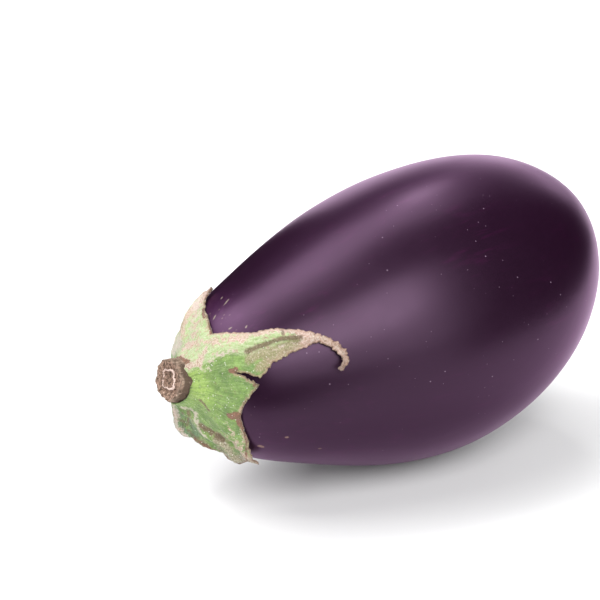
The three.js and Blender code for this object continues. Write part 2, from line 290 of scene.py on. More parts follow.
class Bench:
    """The node tree of one finish, or of the room."""

    def __init__(self, name: str, world: bool = False) -> None:
        """Starts an empty tree.

        Args:
            name: The name of the material or the world.
            world: Whether it is the tree of a world.
        """
        self.owner = (bpy.data.worlds if world else bpy.data.materials).new(name)
        self.owner.use_nodes = True
        self.tree = self.owner.node_tree
        self.tree.nodes.clear()

    def node(self, kind: str, settings: dict | None = None, inputs: dict | None = None) -> bpy.types.Node:
        """Adds a node: its settings first, then the values and links of its sockets.

        Args:
            kind: The node's type.
            settings: Properties of the node. "stops" holds a ramp's places and colours.
            inputs: Values or flows by the sockets' identifiers.

        Returns:
            The node.
        """
        made = self.tree.nodes.new(kind)
        for name, value in (settings or {}).items():
            if name == "stops":
                for stop, (place, colour) in zip(made.color_ramp.elements, value):
                    stop.position, stop.color = place, (*colour, 1)
            else:
                setattr(made, name, value)
        for name, value in (inputs or {}).items():
            socket = next(s for s in made.inputs if s.identifier == name)
            if isinstance(value, Flow):
                self.tree.links.new(value.socket, socket)
            elif isinstance(value, tuple) and len(value) == 3 and socket.type == "RGBA":
                socket.default_value = (*value, 1)
            else:
                socket.default_value = value
        return made

    def out(self, kind: str, outlet: str, settings: dict | None = None, inputs: dict | None = None) -> Flow:
        """Adds a node as node() does and hands on the output with the given identifier."""
        made = self.node(kind, settings, inputs)
        return Flow(self, next(s for s in made.outputs if s.identifier == outlet))

    def maths(self, operation: str, first: Flow | float, second: Flow | float) -> Flow:
        """One sum on two values."""
        values = {"Value": first, "Value_001": second}
        return self.out("ShaderNodeMath", "Value", {"operation": operation}, values)

    def vector_maths(self, operation: str, outlet: str, **inputs: Flow | float) -> Flow:
        """One sum on a vector."""
        return self.out("ShaderNodeVectorMath", outlet, {"operation": operation}, inputs)

    def place(self) -> Flow:
        """The place on the object, in millimetres."""
        metres = self.out("ShaderNodeTexCoord", "Object")
        return self.vector_maths("SCALE", "Vector", Vector=metres, Scale=1 / MM)

    def mapped(
        self, vector: Flow, scale: Colour, shift: Colour = (0, 0, 0), turn: Colour = (0, 0, 0)
    ) -> Flow:
        """Stretches, turns and moves a pattern."""
        sockets = {"Vector": vector, "Location": shift, "Rotation": turn, "Scale": scale}
        return self.out("ShaderNodeMapping", "Vector", None, sockets)

    def attribute(self, name: str, outlet: str = "Fac") -> Flow:
        """Reads what the piece has stored under a name."""
        return self.out("ShaderNodeAttribute", outlet, {"attribute_name": name})

    def cloud(
        self, vector: Flow, size: float, detail: float = 3, rough: float = 0.5, twist: float = 0
    ) -> Flow:
        """A cloudy pattern from 0 to 1, mostly near a half.

        Args:
            vector: Where the pattern is read.
            size: The size of one cloud, in the vector's unit.
            detail: How many finer layers it has.
            rough: How strong the finer layers are.
            twist: How much the pattern is warped.

        Returns:
            The pattern.
        """
        sockets = {"Vector": vector, "Scale": 1 / size, "Detail": detail, "Roughness": rough}
        return self.out("ShaderNodeTexNoise", "Fac", None, {**sockets, "Distortion": twist})

    def dots(self, vector: Flow, pitch: float, radius: float, share: float, soft: float = 0.5) -> Flow:
        """Scattered dots.

        Args:
            vector: Where the pattern is read.
            pitch: The size of the cell that may hold one dot, in the vector's unit.
            radius: The dots' radius in the same unit.
            share: The share of the cells that hold a dot.
            soft: How much of the radius is the soft edge.

        Returns:
            1 in a dot and 0 outside.
        """
        cells = self.node("ShaderNodeTexVoronoi", None, {"Vector": vector, "Scale": 1 / pitch})
        distance, colour = (Flow(self, cells.outputs[name]) for name in ("Distance", "Color"))
        lottery = self.out("ShaderNodeSeparateColor", "Red", None, {"Color": colour})
        chosen = lottery.ease(share + 0.02, share - 0.02)
        return distance.ease(radius / pitch, radius * (1 - soft) / pitch) * chosen

    def blend(self, factor: Flow | float, first: Flow | Colour, second: Flow | Colour) -> Flow:
        """Goes from the first colour to the second.

        Args:
            factor: 0 gives the first and 1 the second.
            first: The first colour.
            second: The second colour.

        Returns:
            The colour.
        """
        settings = {"data_type": "RGBA", "blend_type": "MIX", "clamp_factor": True}
        sockets = {"Factor_Float": factor, "A_Color": first, "B_Color": second}
        return self.out("ShaderNodeMix", "Result_Color", settings, sockets)

    def ragged(self, name: str, pattern: Flow, swing: float, low: float, high: float) -> Flow:
        """Reads a stored mark and gives it a broken outline.

        Args:
            name: The mark's name.
            pattern: The pattern that breaks it up.
            swing: How much the pattern adds or takes away.
            low: Where the mark starts.
            high: Where it is full.

        Returns:
            The mark, from 0 to 1.
        """
        return (self.attribute(name) + (pattern - 0.5) * swing).ease(low, high)

    def relief(self, height: Flow, depth: float, under: Flow | None = None) -> Flow:
        """Turns heights from 0 to 1 into a bumpy surface.

        Args:
            height: The heights.
            depth: What a height of 1 stands for, in metres.
            under: A bumpy surface that this one lies on.

        Returns:
            The normal.
        """
        below = {} if under is None else {"Normal": under}
        sockets = {"Strength": 1.0, "Distance": depth, "Height": height, **below}
        return self.out("ShaderNodeBump", "Normal", None, sockets)

    def finish(self, sockets: dict) -> bpy.types.Material:
        """Ends the tree in a shader.

        Args:
            sockets: Values and flows of the shader's sockets.

        Returns:
            The material.
        """
        shader = self.out("ShaderNodeBsdfPrincipled", "BSDF", None, sockets)
        self.node("ShaderNodeOutputMaterial", None, {"Surface": shader})
        return self.owner


@dataclass(frozen=True)
class Scar:
    """A healed scar: its middle in millimetres, its length and width, and where it points."""

    middle: Colour
    length: float
    width: float
    heading: Colour = (1.0, 0.0, 0.0)

    def mask(self, bench: Bench, place: Flow, edge: Flow) -> Flow:
        """1 inside the scar and 0 outside.

        Args:
            bench: The material's node tree.
            place: The place in millimetres.
            edge: The pattern that makes its outline ragged.

        Returns:
            The mask.
        """
        x, y, z = self.heading
        turn = (0.0, math.atan2(z, x), -math.atan2(y, math.hypot(x, z)))
        sizes = (1 / self.length, 1 / self.width, 1 / self.width)
        middle = Euler(turn).to_matrix() @ Vector(self.middle)
        offset = tuple(-m * s for m, s in zip(middle, sizes))
        local = bench.mapped(bench.mapped(place, (1, 1, 1), turn=turn), sizes, offset)
        reach = bench.vector_maths("LENGTH", "Value", Vector=local)
        return (reach + (edge - 0.5) * 1.4).ease(1.1, 0.7) * 0.75


@dataclass(frozen=True)
class SkinFinish:
    """Glossy skin, nearly black, with a purple shine, faint streaks and sparse pale specks."""

    dark: Colour = (0.010, 0.0032, 0.0085)
    streak: Colour = (0.024, 0.0035, 0.018)
    speck: Colour = (0.30, 0.24, 0.29)
    fleck: Colour = (0.42, 0.44, 0.26)
    scar: Colour = (0.26, 0.195, 0.12)
    corky: Colour = (0.34, 0.25, 0.15)
    pit: Colour = (0.16, 0.10, 0.055)
    # Violet patch near the calyx on the top side: partly the skin's own tint, partly a painted highlight.
    blush_and_highlight: Colour = (0.060, 0.032, 0.060)
    shine: Colour = (0.82, 0.735, 0.82)
    veil: Colour = (0.95, 0.62, 0.94)
    roughness: float = 0.36
    bending: float = 1.48
    coat_roughness: float = 0.30
    coat_bending: float = 1.12
    grain_depth: float = 0.006 * MM
    scars: tuple[Scar, ...] = (
        Scar((-62.3, -19.3, 27.9), 1.9, 0.8),
        Scar((-56.5, -25.5, 32.0), 1.1, 0.4),
        Scar((-44.4, -26.8, 24.8), 1.0, 0.4),
    )
    scratches: tuple[Scar, ...] = (
        Scar((-60.5, 2.1, 70.1), 1.7, 0.34, (0.86, 0.29, 0.43)),
        Scar((-59.6, 6.0, 70.0), 0.95, 0.28, (0.84, 0.42, 0.35)),
        Scar((-65.9, 0.8, 66.8), 1.2, 0.34, (0.76, 0.27, 0.59)),
        Scar((-65.6, -7.4, 66.0), 0.8, 0.30, (0.78, -0.35, 0.52)),
        Scar((-61.8, -11.0, 66.9), 0.7, 0.30, (0.77, 0.29, 0.57)),
    )

    def make(self) -> bpy.types.Material:
        """Builds the finish.

        Returns:
            The material.
        """
        bench = Bench("eggplant_skin")
        place = bench.place()
        collar, crown = bench.attribute("collar"), bench.attribute("crown")
        streaks = bench.cloud(bench.mapped(place, (0.1, 1, 1)), 2.4, 4, 0.6, 0.4).ease(0.52, 0.78)
        patches = bench.cloud(place, 26, 2, 0.5).ease(0.42, 0.66)
        specks = bench.dots(place, 4.6, 0.32, 0.40, 0.7).most(bench.dots(place, 2.3, 0.20, 0.25, 0.7))
        dashes = bench.dots(bench.mapped(place, (0.2, 1, 1), (3, 1, 7)), 1.5, 0.30, 0.6, 0.6)
        flecks = dashes * collar.ease(12, 3) * crown
        edge = bench.cloud(place, 0.8, 3, 0.6)
        scars, scratches = (
            reduce(Flow.most, [scar.mask(bench, place, edge) for scar in group])
            for group in (self.scars, self.scratches)
        )
        cork = bench.ragged("blossom", bench.cloud(place, 0.9, 3, 0.6), 1.2, 2.5, 2.0)
        colour = bench.blend(streaks * patches, self.dark, self.streak).layered(
            # Painted highlight near the calyx on the top side, partly the skin's own violet tint.
            (collar.ease(22, 0) * crown * (streaks * 0.5 + 0.5), self.blush_and_highlight),
            (specks * 0.6, self.speck),
            (flecks * 0.3, self.fleck),
            (scars, self.scar),
            (scratches * 0.65, self.fleck),
            (cork, self.corky),
            (cork * bench.cloud(place, 0.45, 3, 0.7).ease(0.5, 0.7), self.pit),
        )
        matt = specks.most(flecks * 0.4).most(scars).most(scratches).most(cork)
        wear = bench.cloud(place, 7, 4, 0.6)
        grain = bench.cloud(bench.mapped(place, (0.3, 1, 1)), 0.8, 3, 0.55)
        crumbs = cork * 4.0 * bench.cloud(place, 0.5, 3, 0.6)
        return bench.finish({
            "Base Color": colour,
            "Roughness": (wear - 0.5) * 0.08 + self.roughness + matt * 0.3,
            "IOR": self.bending,
            "Specular Tint": self.shine,
            "Coat Weight": 1.0 - matt * 0.8,
            "Coat Roughness": self.coat_roughness,
            "Coat IOR": self.coat_bending,
            "Coat Tint": self.veil,
            "Normal": bench.relief(grain + crumbs, self.grain_depth),
        })


@dataclass(frozen=True)
class CalyxFinish:
    """Fibrous green flesh with corky patches, brown ragged rims and dried tips; its top, the green by the
    stem and the hairs are painted brighter as lit, and its creases painted darker as shade.
    """

    deep: Colour = (0.125, 0.215, 0.060)
    green: Colour = (0.225, 0.355, 0.095)
    # Bright yellow-green by the stem: partly the flesh's own colour, partly painted light.
    fresh_and_lit: Colour = (0.34, 0.49, 0.12)
    light: Colour = (0.47, 0.555, 0.315)
    cream: Colour = (0.63, 0.525, 0.465)
    pink: Colour = (0.48, 0.295, 0.235)
    tan: Colour = (0.31, 0.21, 0.15)
    grey: Colour = (0.44, 0.385, 0.30)
    olive: Colour = (0.27, 0.23, 0.12)
    teal: Colour = (0.15, 0.27, 0.16)
    brown: Colour = (0.15, 0.090, 0.055)
    rust: Colour = (0.27, 0.135, 0.090)
    groove_shade: Colour = (0.19, 0.125, 0.080)
    gloom: Colour = (0.085, 0.085, 0.045)
    # Pale colour of the calyx's hairs, painted bright as the glints of light on them.
    hair_glint: Colour = (0.80, 0.82, 0.70)
    roughness: float = 0.55
    ground_depth: float = 0.42 * MM
    fuzz_depth: float = 0.20 * MM

    def make(self) -> bpy.types.Material:
        """Builds the finish.

        Returns:
            The material.
        """
        bench = Bench("eggplant_calyx")
        place = bench.place()
        veins = bench.attribute("veins", "Vector")
        fuzz = bench.cloud(place, 0.5, 3, 0.8)
        crumbs = bench.cloud(place, 1.3, 4, 0.7)
        patches = bench.cloud(place, 2.4, 4, 0.7, 0.8)
        blots = bench.cloud(place, 4.5, 4, 0.6)
        fibres = bench.cloud(veins, 0.7, 4, 0.65, 0.4)
        strands = bench.cloud(veins, 2.0, 4, 0.6, 0.8)

        fold = bench.attribute("fold")
        # Painted light: the top of the calyx is painted pale where the lamps light it most, with the flesh's
        # own pink and cream blotches on it.
        pale = bench.ragged("pale", strands, 0.9, 0.30, 0.80)
        blushed = bench.ragged("blushed", patches, 2.2, 0.45, 0.75)
        olive = bench.ragged("olive", patches, 1.6, 0.30, 0.85)
        cream = bench.ragged("cream", crumbs, 2.2, 0.42, 0.80)
        cork = bench.ragged("cork", crumbs, 1.9, 0.42, 0.72)
        dry = bench.ragged("dry", strands, 1.3, 0.30, 0.75)
        grey = bench.ragged("grey", crumbs, 1.4, 0.30, 0.80)
        # Painted shade: dark brown and dark green along creases, grooves and a crack, where shade falls.
        shade = bench.ragged("shade", patches, 1.0, 0.28, 0.85)
        rust = bench.ragged("rust", crumbs, 1.2, 0.40, 0.65)
        rim = bench.attribute("rim") + (bench.cloud(place, 0.8, 3, 0.7) - 0.5) * 2.2
        hairs = bench.dots(place, 1.15, 0.24, 0.5, 0.5)
        husk = bench.blend(fuzz.ease(0.42, 0.62), self.pink, self.cream)

        colour = bench.blend(blots.ease(0.36, 0.60), self.deep, self.green).layered(
            # Bright yellow-green by the stem: partly the flesh's own colour, partly painted light.
            (bench.attribute("fresh_and_lit") * 0.9, self.fresh_and_lit),
            (fold * blots.ease(0.62, 0.44) * 0.7, self.teal),
            (fibres.ease(0.50, 0.68) * 0.22, self.light),
            (fibres.ease(0.48, 0.34) * 0.55, self.deep),
            (crumbs.ease(0.50, 0.36) * 0.5, self.deep),
            (fold * fibres.ease(0.52, 0.40) * 0.6, self.gloom),
            (pale * 0.92, bench.blend(fibres.ease(0.56, 0.38) * 0.6, self.light, self.green)),
            (pale * fuzz.ease(0.54, 0.68) * 0.6, self.cream),
            (pale * crumbs.ease(0.53, 0.64) * 0.75, self.pink),
            (pale * crumbs.ease(0.46, 0.34) * 0.4, self.green),
            (blushed * 0.85, bench.blend(fuzz.ease(0.42, 0.66), self.pink, self.cream)),
            (olive * 0.8, self.olive),
            (olive * fuzz.ease(0.50, 0.62) * 0.45, self.cream),
            (olive * fuzz.ease(0.46, 0.36) * 0.6, self.tan),
            (cream * 0.75, self.cream),
            (cork * 0.85, bench.blend(fuzz.ease(0.42, 0.6), self.pink, self.cream)),
            (dry * 0.92, husk.layered((fibres.ease(0.50, 0.36) * 0.75, self.tan))),
            (grey * 0.85, bench.blend(fuzz.ease(0.56, 0.42) * 0.8, self.grey, self.brown)),
            # Painted shade along the creases, grooves and the crack.
            (shade * 0.85, self.groove_shade),
            (shade * fuzz.ease(0.52, 0.36) * 0.7, self.gloom),
            (crumbs.ease(0.60, 0.70) * bench.attribute("mottle") * 0.6, self.tan),
            (fuzz.ease(0.45, 0.32) * 0.55, self.gloom),
            (fuzz.ease(0.57, 0.70) * 0.4, self.cream),
            (rim.ease(1.1, 0.3) * 0.6, self.pink),
            (rust, bench.blend(fuzz.ease(0.58, 0.40), self.rust, self.brown)),
            (rim.ease(0.55, 0.05) * 0.85, self.brown),
            # Pale dots for the calyx's hairs, painted bright as the glints of light on them.
            (hairs * 0.7, self.hair_glint),
        )
        ground = bench.relief(fibres * 0.7 + strands + crumbs * 0.6, self.ground_depth)
        return bench.finish({
            "Base Color": colour,
            "Roughness": self.roughness + dry * 0.25 + cork * 0.15,
            "IOR": 1.4,
            "Specular IOR Level": 0.4,
            "Sheen Weight": 0.3,
            "Sheen Roughness": 0.35,
            "Normal": bench.relief(fuzz + hairs * 0.8, self.fuzz_depth, ground),
        })


@dataclass(frozen=True)
class StemFinish:
    """Brown corky bark with long fibres, and a cut face with a pale woody ring round a pitted pith."""

    bark: Colour = (0.25, 0.18, 0.135)
    dark: Colour = (0.080, 0.052, 0.036)
    ridge: Colour = (0.50, 0.38, 0.29)
    cut: Colour = (0.38, 0.25, 0.185)
    ring: Colour = (0.80, 0.62, 0.55)
    fibre_depth: float = 0.35 * MM
    crumb_depth: float = 0.2 * MM

    def make(self) -> bpy.types.Material:
        """Builds the finish.

        Returns:
            The material.
        """
        bench = Bench("eggplant_stem")
        place = bench.place()
        fibres = bench.cloud(bench.attribute("grain", "Vector"), 0.8, 5, 0.75)
        crumbs = bench.cloud(place, 0.7, 4, 0.8)
        blots = bench.cloud(place, 2.6, 3, 0.6)
        face = bench.blend(crumbs.ease(0.40, 0.56), self.dark, self.cut)
        colour = bench.blend(fibres.ease(0.38, 0.56), self.dark, self.bark).layered(
            (fibres.ease(0.52, 0.66) * 0.8, self.ridge),
            (crumbs.ease(0.53, 0.68) * 0.6, self.ridge),
            (crumbs.ease(0.46, 0.34) * 0.7, self.dark),
            (blots.ease(0.48, 0.62) * 0.4, self.cut),
            # Painted shade: the bark is darker towards the root on its shaded side.
            (bench.ragged("root", crumbs, 0.6, 0.2, 0.7) * 0.9, self.dark),
            (bench.attribute("face"), face.layered((crumbs.ease(0.56, 0.70) * 0.8, self.ridge))),
            (bench.ragged("ring", crumbs, 2.8, 0.30, 0.85), self.ring),
        )
        return bench.finish({
            "Base Color": colour,
            "Roughness": 0.72 + crumbs * 0.2,
            "IOR": 1.4,
            "Specular IOR Level": 0.3,
            "Normal": bench.relief(crumbs, self.crumb_depth, bench.relief(fibres, self.fibre_depth)),
        })


@dataclass(frozen=True)
class PlainFinish:
    """One dull colour, for the floor and the cards."""

    name: str
    shade: float
    roughness: float

    def make(self) -> bpy.types.Material:
        """Builds the finish.

        Returns:
            The material.
        """
        grey = (self.shade,) * 3
        sockets = {"Base Color": grey, "Roughness": self.roughness, "Specular IOR Level": 0.0}
        return Bench(self.name).finish(sockets)


# ---- The form that everything lies on ----


@dataclass(frozen=True)
class Swelling:
    """A soft rise or dip of the stem end, in millimetres, at a distance and direction from the stem."""

    distance: float
    direction: float
    height: float
    spread: float


@dataclass
class Form:
    """The shape of the fruit's skin, in millimetres, with the chart of the stem end that the calyx uses.

    A place on the outline is its turn, from 0 at the stem pole to pi at the blossom pole. A place in the
    chart has x up the fruit's end and y towards the near side, both measured over the skin. The form stands
    in the fruit's packed box, given by its two corners in metres, and stays `margin` short of its far
    corner.
    """

    fruit_box: tuple[Vector, Vector]
    length: float = 162.5
    belly: float = 48.0
    swell: tuple[float, ...] = (0.016, 0.043, 0.098, 0.031, 0.026)
    bow: float = 6.7
    tilt: float = math.radians(7.5)
    stem_offset: float = 6.0
    swellings: tuple[Swelling, ...] = (
        Swelling(5, 290, -4, 14),
        Swelling(19, 198, 3, 12),
        Swelling(50, 312, 0.9, 32),
    )
    arc_steps: int = 600
    margin: Colour = (0.0, 0.08, 0.08)

    def __post_init__(self) -> None:
        """Measures the outline and finds where the form stands."""
        self.turns = np.linspace(0, math.pi, self.arc_steps + 1)
        station, radius = self.outline(self.turns)
        legs = np.hypot(np.diff(station), np.diff(radius))
        self.arcs = np.concatenate([[0], np.cumsum(legs)])
        self.stand = np.zeros(3)
        turn, around = np.meshgrid(np.linspace(0.001, math.pi, 400), np.linspace(-math.pi, math.pi, 361))
        cloud = self.skin(turn.ravel(), around.ravel())
        self.stand = np.array(self.fruit_box[1]) / MM - cloud.max(axis=0) - np.array(self.margin)

    def outline(self, turn: Points) -> tuple[Points, Points]:
        """The distance along the fruit and the radius there."""
        swell = 1 + sum(part * np.cos((k + 1) * turn) for k, part in enumerate(self.swell))
        return self.length / 2 * (1 - np.cos(turn)), self.belly * np.sin(turn) * swell

    def chart(self, distance: Points, direction: Points) -> Points:
        """The chart place at a distance and a direction, in degrees, from the stem's middle."""
        angle = np.radians(direction)
        return np.stack([self.stem_offset + distance * np.cos(angle), distance * np.sin(angle)], axis=-1)

    def from_stem(self, chart: Points) -> tuple[Points, Points]:
        """The distance and direction, in degrees from 0 to 360, of chart places."""
        x, y = chart[:, 0] - self.stem_offset, chart[:, 1]
        return np.hypot(x, y), np.degrees(np.arctan2(y, x)) % 360

    def from_blossom_pole(self, turn: Points) -> Points:
        """The distance over the skin from the blossom pole."""
        return self.arcs[-1] - np.interp(turn, self.turns, self.arcs)

    def on_chart(self, turn: Points, around: Points) -> Points:
        """The chart places of points on the skin."""
        arc = np.interp(turn, self.turns, self.arcs)
        return np.stack([arc * np.cos(around), arc * np.sin(around)], axis=-1)

    def chart_angles(self, chart: Points) -> tuple[Points, Points]:
        """The turn and the angle round the fruit of chart places."""
        arc = np.hypot(chart[:, 0], chart[:, 1])
        return np.interp(arc, self.arcs, self.turns), np.arctan2(chart[:, 1], chart[:, 0])

    def rise(self, turn: Points, around: Points) -> Points:
        """How far the swellings move the skin.

        Args:
            turn: Places along the outline.
            around: Angles round the fruit.

        Returns:
            One height per place.
        """
        place = self.on_chart(turn, around)
        total = np.zeros(len(place))
        for lump in self.swellings:
            gap = np.linalg.norm(place - self.chart(lump.distance, lump.direction), axis=1)
            total += lump.height * np.exp(-((gap / lump.spread) ** 2))
        return total

    def plain(self, turn: Points, around: Points) -> Points:
        """The bare figure of revolution about the bowed centreline.

        Args:
            turn: Places along the outline.
            around: Angles round the fruit.

        Returns:
            One row per place, in the fruit's own frame.
        """
        station, radius = self.outline(turn)
        share = station / self.length
        bow = -4 * self.bow * share * (1 - share)
        return np.stack([station, -radius * np.sin(around), bow + radius * np.cos(around)], axis=-1)

    def plain_normal(self, turn: Points, around: Points) -> Points:
        """The bare figure's outward direction.

        Args:
            turn: Places along the outline.
            around: Angles round the fruit.

        Returns:
            One row per place, in the fruit's own frame.
        """
        nudge = 1e-3
        safe = np.clip(turn, 2 * nudge, math.pi - 2 * nudge)
        along = self.plain(safe + nudge, around) - self.plain(safe - nudge, around)
        across = self.plain(safe, around + nudge) - self.plain(safe, around - nudge)
        normal = np.cross(across, along)
        return normal / np.linalg.norm(normal, axis=1, keepdims=True)

    def at_rest(self, vectors: Points) -> Points:
        """Turns vectors from the fruit's own frame into the resting one.

        Args:
            vectors: One row each.

        Returns:
            One row each.
        """
        x, y, z = vectors.T
        c, s = math.cos(self.tilt), math.sin(self.tilt)
        return np.stack([x * c - z * s, y, x * s + z * c], axis=-1)

    def skin(self, turn: Points, around: Points, height: Points | float = 0.0) -> Points:
        """Points at a height above the skin, in the part's frame.

        Args:
            turn: Places along the outline.
            around: Angles round the fruit, 0 on top and pi / 2 on the near side.
            height: Heights above the skin.

        Returns:
            One row per place, in millimetres.
        """
        rise = self.rise(turn, around) + height
        own = self.plain(turn, around) + self.plain_normal(turn, around) * rise[:, None]
        return self.at_rest(own) + self.stand

    def stem_end(self, chart: Points, height: Points | float = 0.0) -> Points:
        """Points at a height above the skin at chart places."""
        turn, around = self.chart_angles(chart)
        return self.skin(turn, around, height)


# ---- The fruit ----


@dataclass
class Fruit:
    """The whole fruit with the flat spot that it rests on and the blossom scar, in millimetres.

    The fruit starts as a ball of radius 1. The sizes of lumps and crumbs are shares of it.
    """

    form: Form
    finish: SkinFinish
    cuts: int = 91
    crowding: float = 0.72
    crowded: float = 0.32
    lump_height: float = 0.22
    lump_size: float = 0.55
    scar_radius: float = 2.3
    scar_waves: tuple[tuple[float, int], ...] = ((0.18, 2), (0.08, 5))
    scar_rise: float = 0.35
    scar_dip: float = 0.9
    dip_width: float = 7.0
    crater_depth: float = 0.315
    crater_width: float = 0.9
    crumb_height: float = 0.14
    crumb_size: float = 0.00875
    floor_ease: float = 0.25
    calyx_reach: float = 20.0
    crown_direction: float = -15.0
    crown_width: tuple[float, float] = (55.0, 95.0)

    def build(self) -> bpy.types.Object:
        """Models the fruit from a finely divided cube, whose faces crowd at the blossom scar.

        Returns:
            The fruit.
        """
        deselect()
        bpy.ops.mesh.primitive_cube_add(size=2)
        body = bpy.context.object
        body.name = "fruit_body"
        edit_all(partial(bpy.ops.mesh.subdivide, number_cuts=self.cuts))
        ball = np.tan(vertex_places(body) * math.pi / 4)
        ball /= np.linalg.norm(ball, axis=1, keepdims=True)
        from_blossom = np.arccos(np.clip(ball[:, 0], -1, 1))
        from_blossom = from_blossom * (1 - self.crowding * np.exp(-((from_blossom / self.crowded) ** 2)))
        turn = math.pi - from_blossom
        around = np.arctan2(-ball[:, 1], ball[:, 2])
        move_vertices(body, self.shape(turn, around, ball) * MM)
        self.mark(body, turn, around)
        hand_in(body, self.finish.make(), "fruit")
        return body

    def shape(self, turn: Points, around: Points, ball: Points) -> Points:
        """The skin's points, in millimetres.

        Args:
            turn: Places along the outline.
            around: Angles round the fruit.
            ball: The same places as directions from the middle.

        Returns:
            One row per place.
        """
        near = smooth_step(0.02, 0.5, turn)
        uneven = self.lump_height * near * lumps(ball, self.lump_size, 2)
        from_pole = self.form.from_blossom_pole(turn)
        pit = -self.scar_dip * np.exp(-((from_pole / self.dip_width) ** 2))
        (oval, twice), (wavy, times) = self.scar_waves
        edge = self.scar_radius * (1 + oval * np.cos(twice * around) + wavy * np.sin(times * around))
        cork = self.scar_rise * smooth_step(0.35, -0.25, from_pole - edge)
        crater = -self.crater_depth * np.exp(-((from_pole / self.crater_width) ** 2))
        crumbs = smooth_step(0.2, -0.4, from_pole - edge) * lumps(ball, self.crumb_size, 2, 5.0)
        places = self.form.skin(turn, around, uneven + pit + cork + crater + self.crumb_height * crumbs)
        low, ease = places[:, 2], self.floor_ease
        places[:, 2] = np.where(low < ease, np.where(low > -ease, (low + ease) ** 2 / (4 * ease), 0), low)
        return places

    def mark(self, body: bpy.types.Object, turn: Points, around: Points) -> None:
        """Stores what the skin's finish reads: distances from the calyx and from the blossom pole.

        Args:
            body: The fruit.
            turn: Places along the outline.
            around: Angles round the fruit.
        """
        distance, direction = self.form.from_stem(self.form.on_chart(turn, around))
        turned = (direction - self.crown_direction + 180) % 360 - 180
        paint(body, "collar", np.maximum(distance - self.calyx_reach, 0))
        paint(body, "crown", 1 - smooth_step(*self.crown_width, np.abs(turned)) * 0.8)
        paint(body, "blossom", self.form.from_blossom_pole(turn))


# ---- The calyx ----


@dataclass(frozen=True)
class Sepal:
    """One sepal as a run of stations from its root to its tip.

    A station holds the two edge points that face each other: distance and direction from the stem's middle,
    in millimetres and degrees. The tip stands `lift` off the skin.
    """

    name: str
    columns: int
    rows: int
    lift: float
    lift_from: float
    stations: tuple[tuple[float, float, float, float], ...]


@dataclass(frozen=True)
class Streak:
    """A band of the calyx along a path of distances and directions: a fold in it or a mark on it."""

    height: float
    width: float
    path: tuple[tuple[float, float], ...]

    def reach(self, form: Form, places: Points) -> Points:
        """1 along the path and 0 away from it, times the height."""
        line = np.array([form.chart(distance, direction) for distance, direction in self.path])
        return self.height * np.exp(-((path_distance(places, line) / self.width) ** 2))


def streaks(*rows: tuple) -> tuple[Streak, ...]:
    """Reads a table of streaks: in each row the height, the width and the points of the path."""
    return tuple(Streak(height, width, tuple(path)) for height, width, *path in rows)


SEPALS = (
    Sepal("long_hooked", 54, 116, 2.6, 0.6, (
        (18.2, 13, 19.2, 66), (21.5, 23, 22.9, 69.2), (24.8, 30.5, 26.6, 72.9), (28.6, 36.4, 29.6, 68.8),
        (32.2, 38.6, 31.8, 64), (35.6, 40.4, 35, 62.6), (39, 43.6, 38.4, 60.6), (42.4, 47.2, 41.8, 60),
        (46, 50.6, 44.8, 58.7), (49.4, 54.8, 47.4, 59), (52.4, 59.4, 49.9, 61.8), (54.6, 64, 51.9, 65.4),
        (55.7, 68.6, 53.1, 68.9), (55.2, 72.8, 53.2, 71.8), (52.4, 76.2, 51.4, 74.6),
    )),
    Sepal("small_torn", 44, 24, 1, 0, (
        (19.2, 66, 21.4, 110), (21.9, 70, 21.7, 100.4), (24, 74, 23.4, 89), (26.6, 78, 26, 80.4),
    )),
    Sepal("broad_lower", 70, 40, 2.7, 0.35, (
        (21.4, 110, 22, 186), (23.4, 121.4, 24.2, 178), (26, 129, 25.4, 170), (28.2, 136.6, 26.8, 166),
        (30.8, 142.8, 28.8, 165), (34.6, 148.6, 31.6, 160),
    )),
    Sepal("folded", 48, 22, 0, 0, (
        (22, 186, 17.5, 246), (23.4, 188, 20, 239), (24, 193, 21.4, 232), (23.4, 200, 22, 224),
    )),
    Sepal("far", 54, 46, 1.2, 0.4, (
        (17.5, 246, 19.5, 303), (23.5, 253, 23.5, 292), (29, 261, 28.6, 284), (33.6, 267.5, 33.2, 277.5),
        (37, 271.5, 36.8, 274),
    )),
    Sepal("upper", 62, 50, 0.9, 0.5, (
        (19.5, 303, 18.2, 373), (21.8, 308, 20, 360.4), (24, 312.6, 22.3, 351), (26.4, 316, 24.2, 341),
        (29, 319.4, 27.6, 334), (31.8, 323, 31.2, 330), (34.8, 326.4, 34.4, 328.4),
    )),
)

FOLDS = streaks(
    (0.9, 2.2, (8, 40), (16, 38), (24, 42), (32, 44), (40, 50), (47, 56)),
    (-0.9, 1.3, (21.9, 55), (26.8, 52), (32.2, 50), (37.3, 51.4), (41.9, 54)),
    (1.5, 2.6, (14, 322), (19, 320), (27, 322), (33, 326)),
    (0.6, 2.0, (8, 95), (16, 128), (26, 142), (31, 148)),
    (0.5, 2.2, (18, 268), (24, 270), (32, 272)),
    (
        1.7, 1.7,
        (9.6, 176), (11.4, 163), (15.7, 162), (18.2, 160), (20.6, 155), (23, 152), (27, 156), (30, 158),
    ),
    (-1.0, 1.5, (13, 163), (15.8, 159), (19.6, 150), (23.5, 147)),
    (2.4, 1.5, (11, 210), (13.4, 206), (16.3, 200)),
    (2.8, 1.5, (18.4, 196.5), (20.4, 191), (21.6, 186), (22.6, 180), (24.2, 171), (25.6, 166)),
    (-0.7, 2.2, (12, 186), (15, 182), (18, 179)),
)


class Mark(Enum):
    """The kinds of colour marks on the calyx, among them painted light by the stem and painted shade in its
    creases.
    """

    FRESH_AND_LIT = "fresh_and_lit"
    CREAM = "cream"
    CORK = "cork"
    OLIVE = "olive"
    GREY = "grey"
    BLUSHED = "blushed"
    RUST = "rust"
    # Painted shade in creases, grooves and a crack.
    SHADE = "shade"


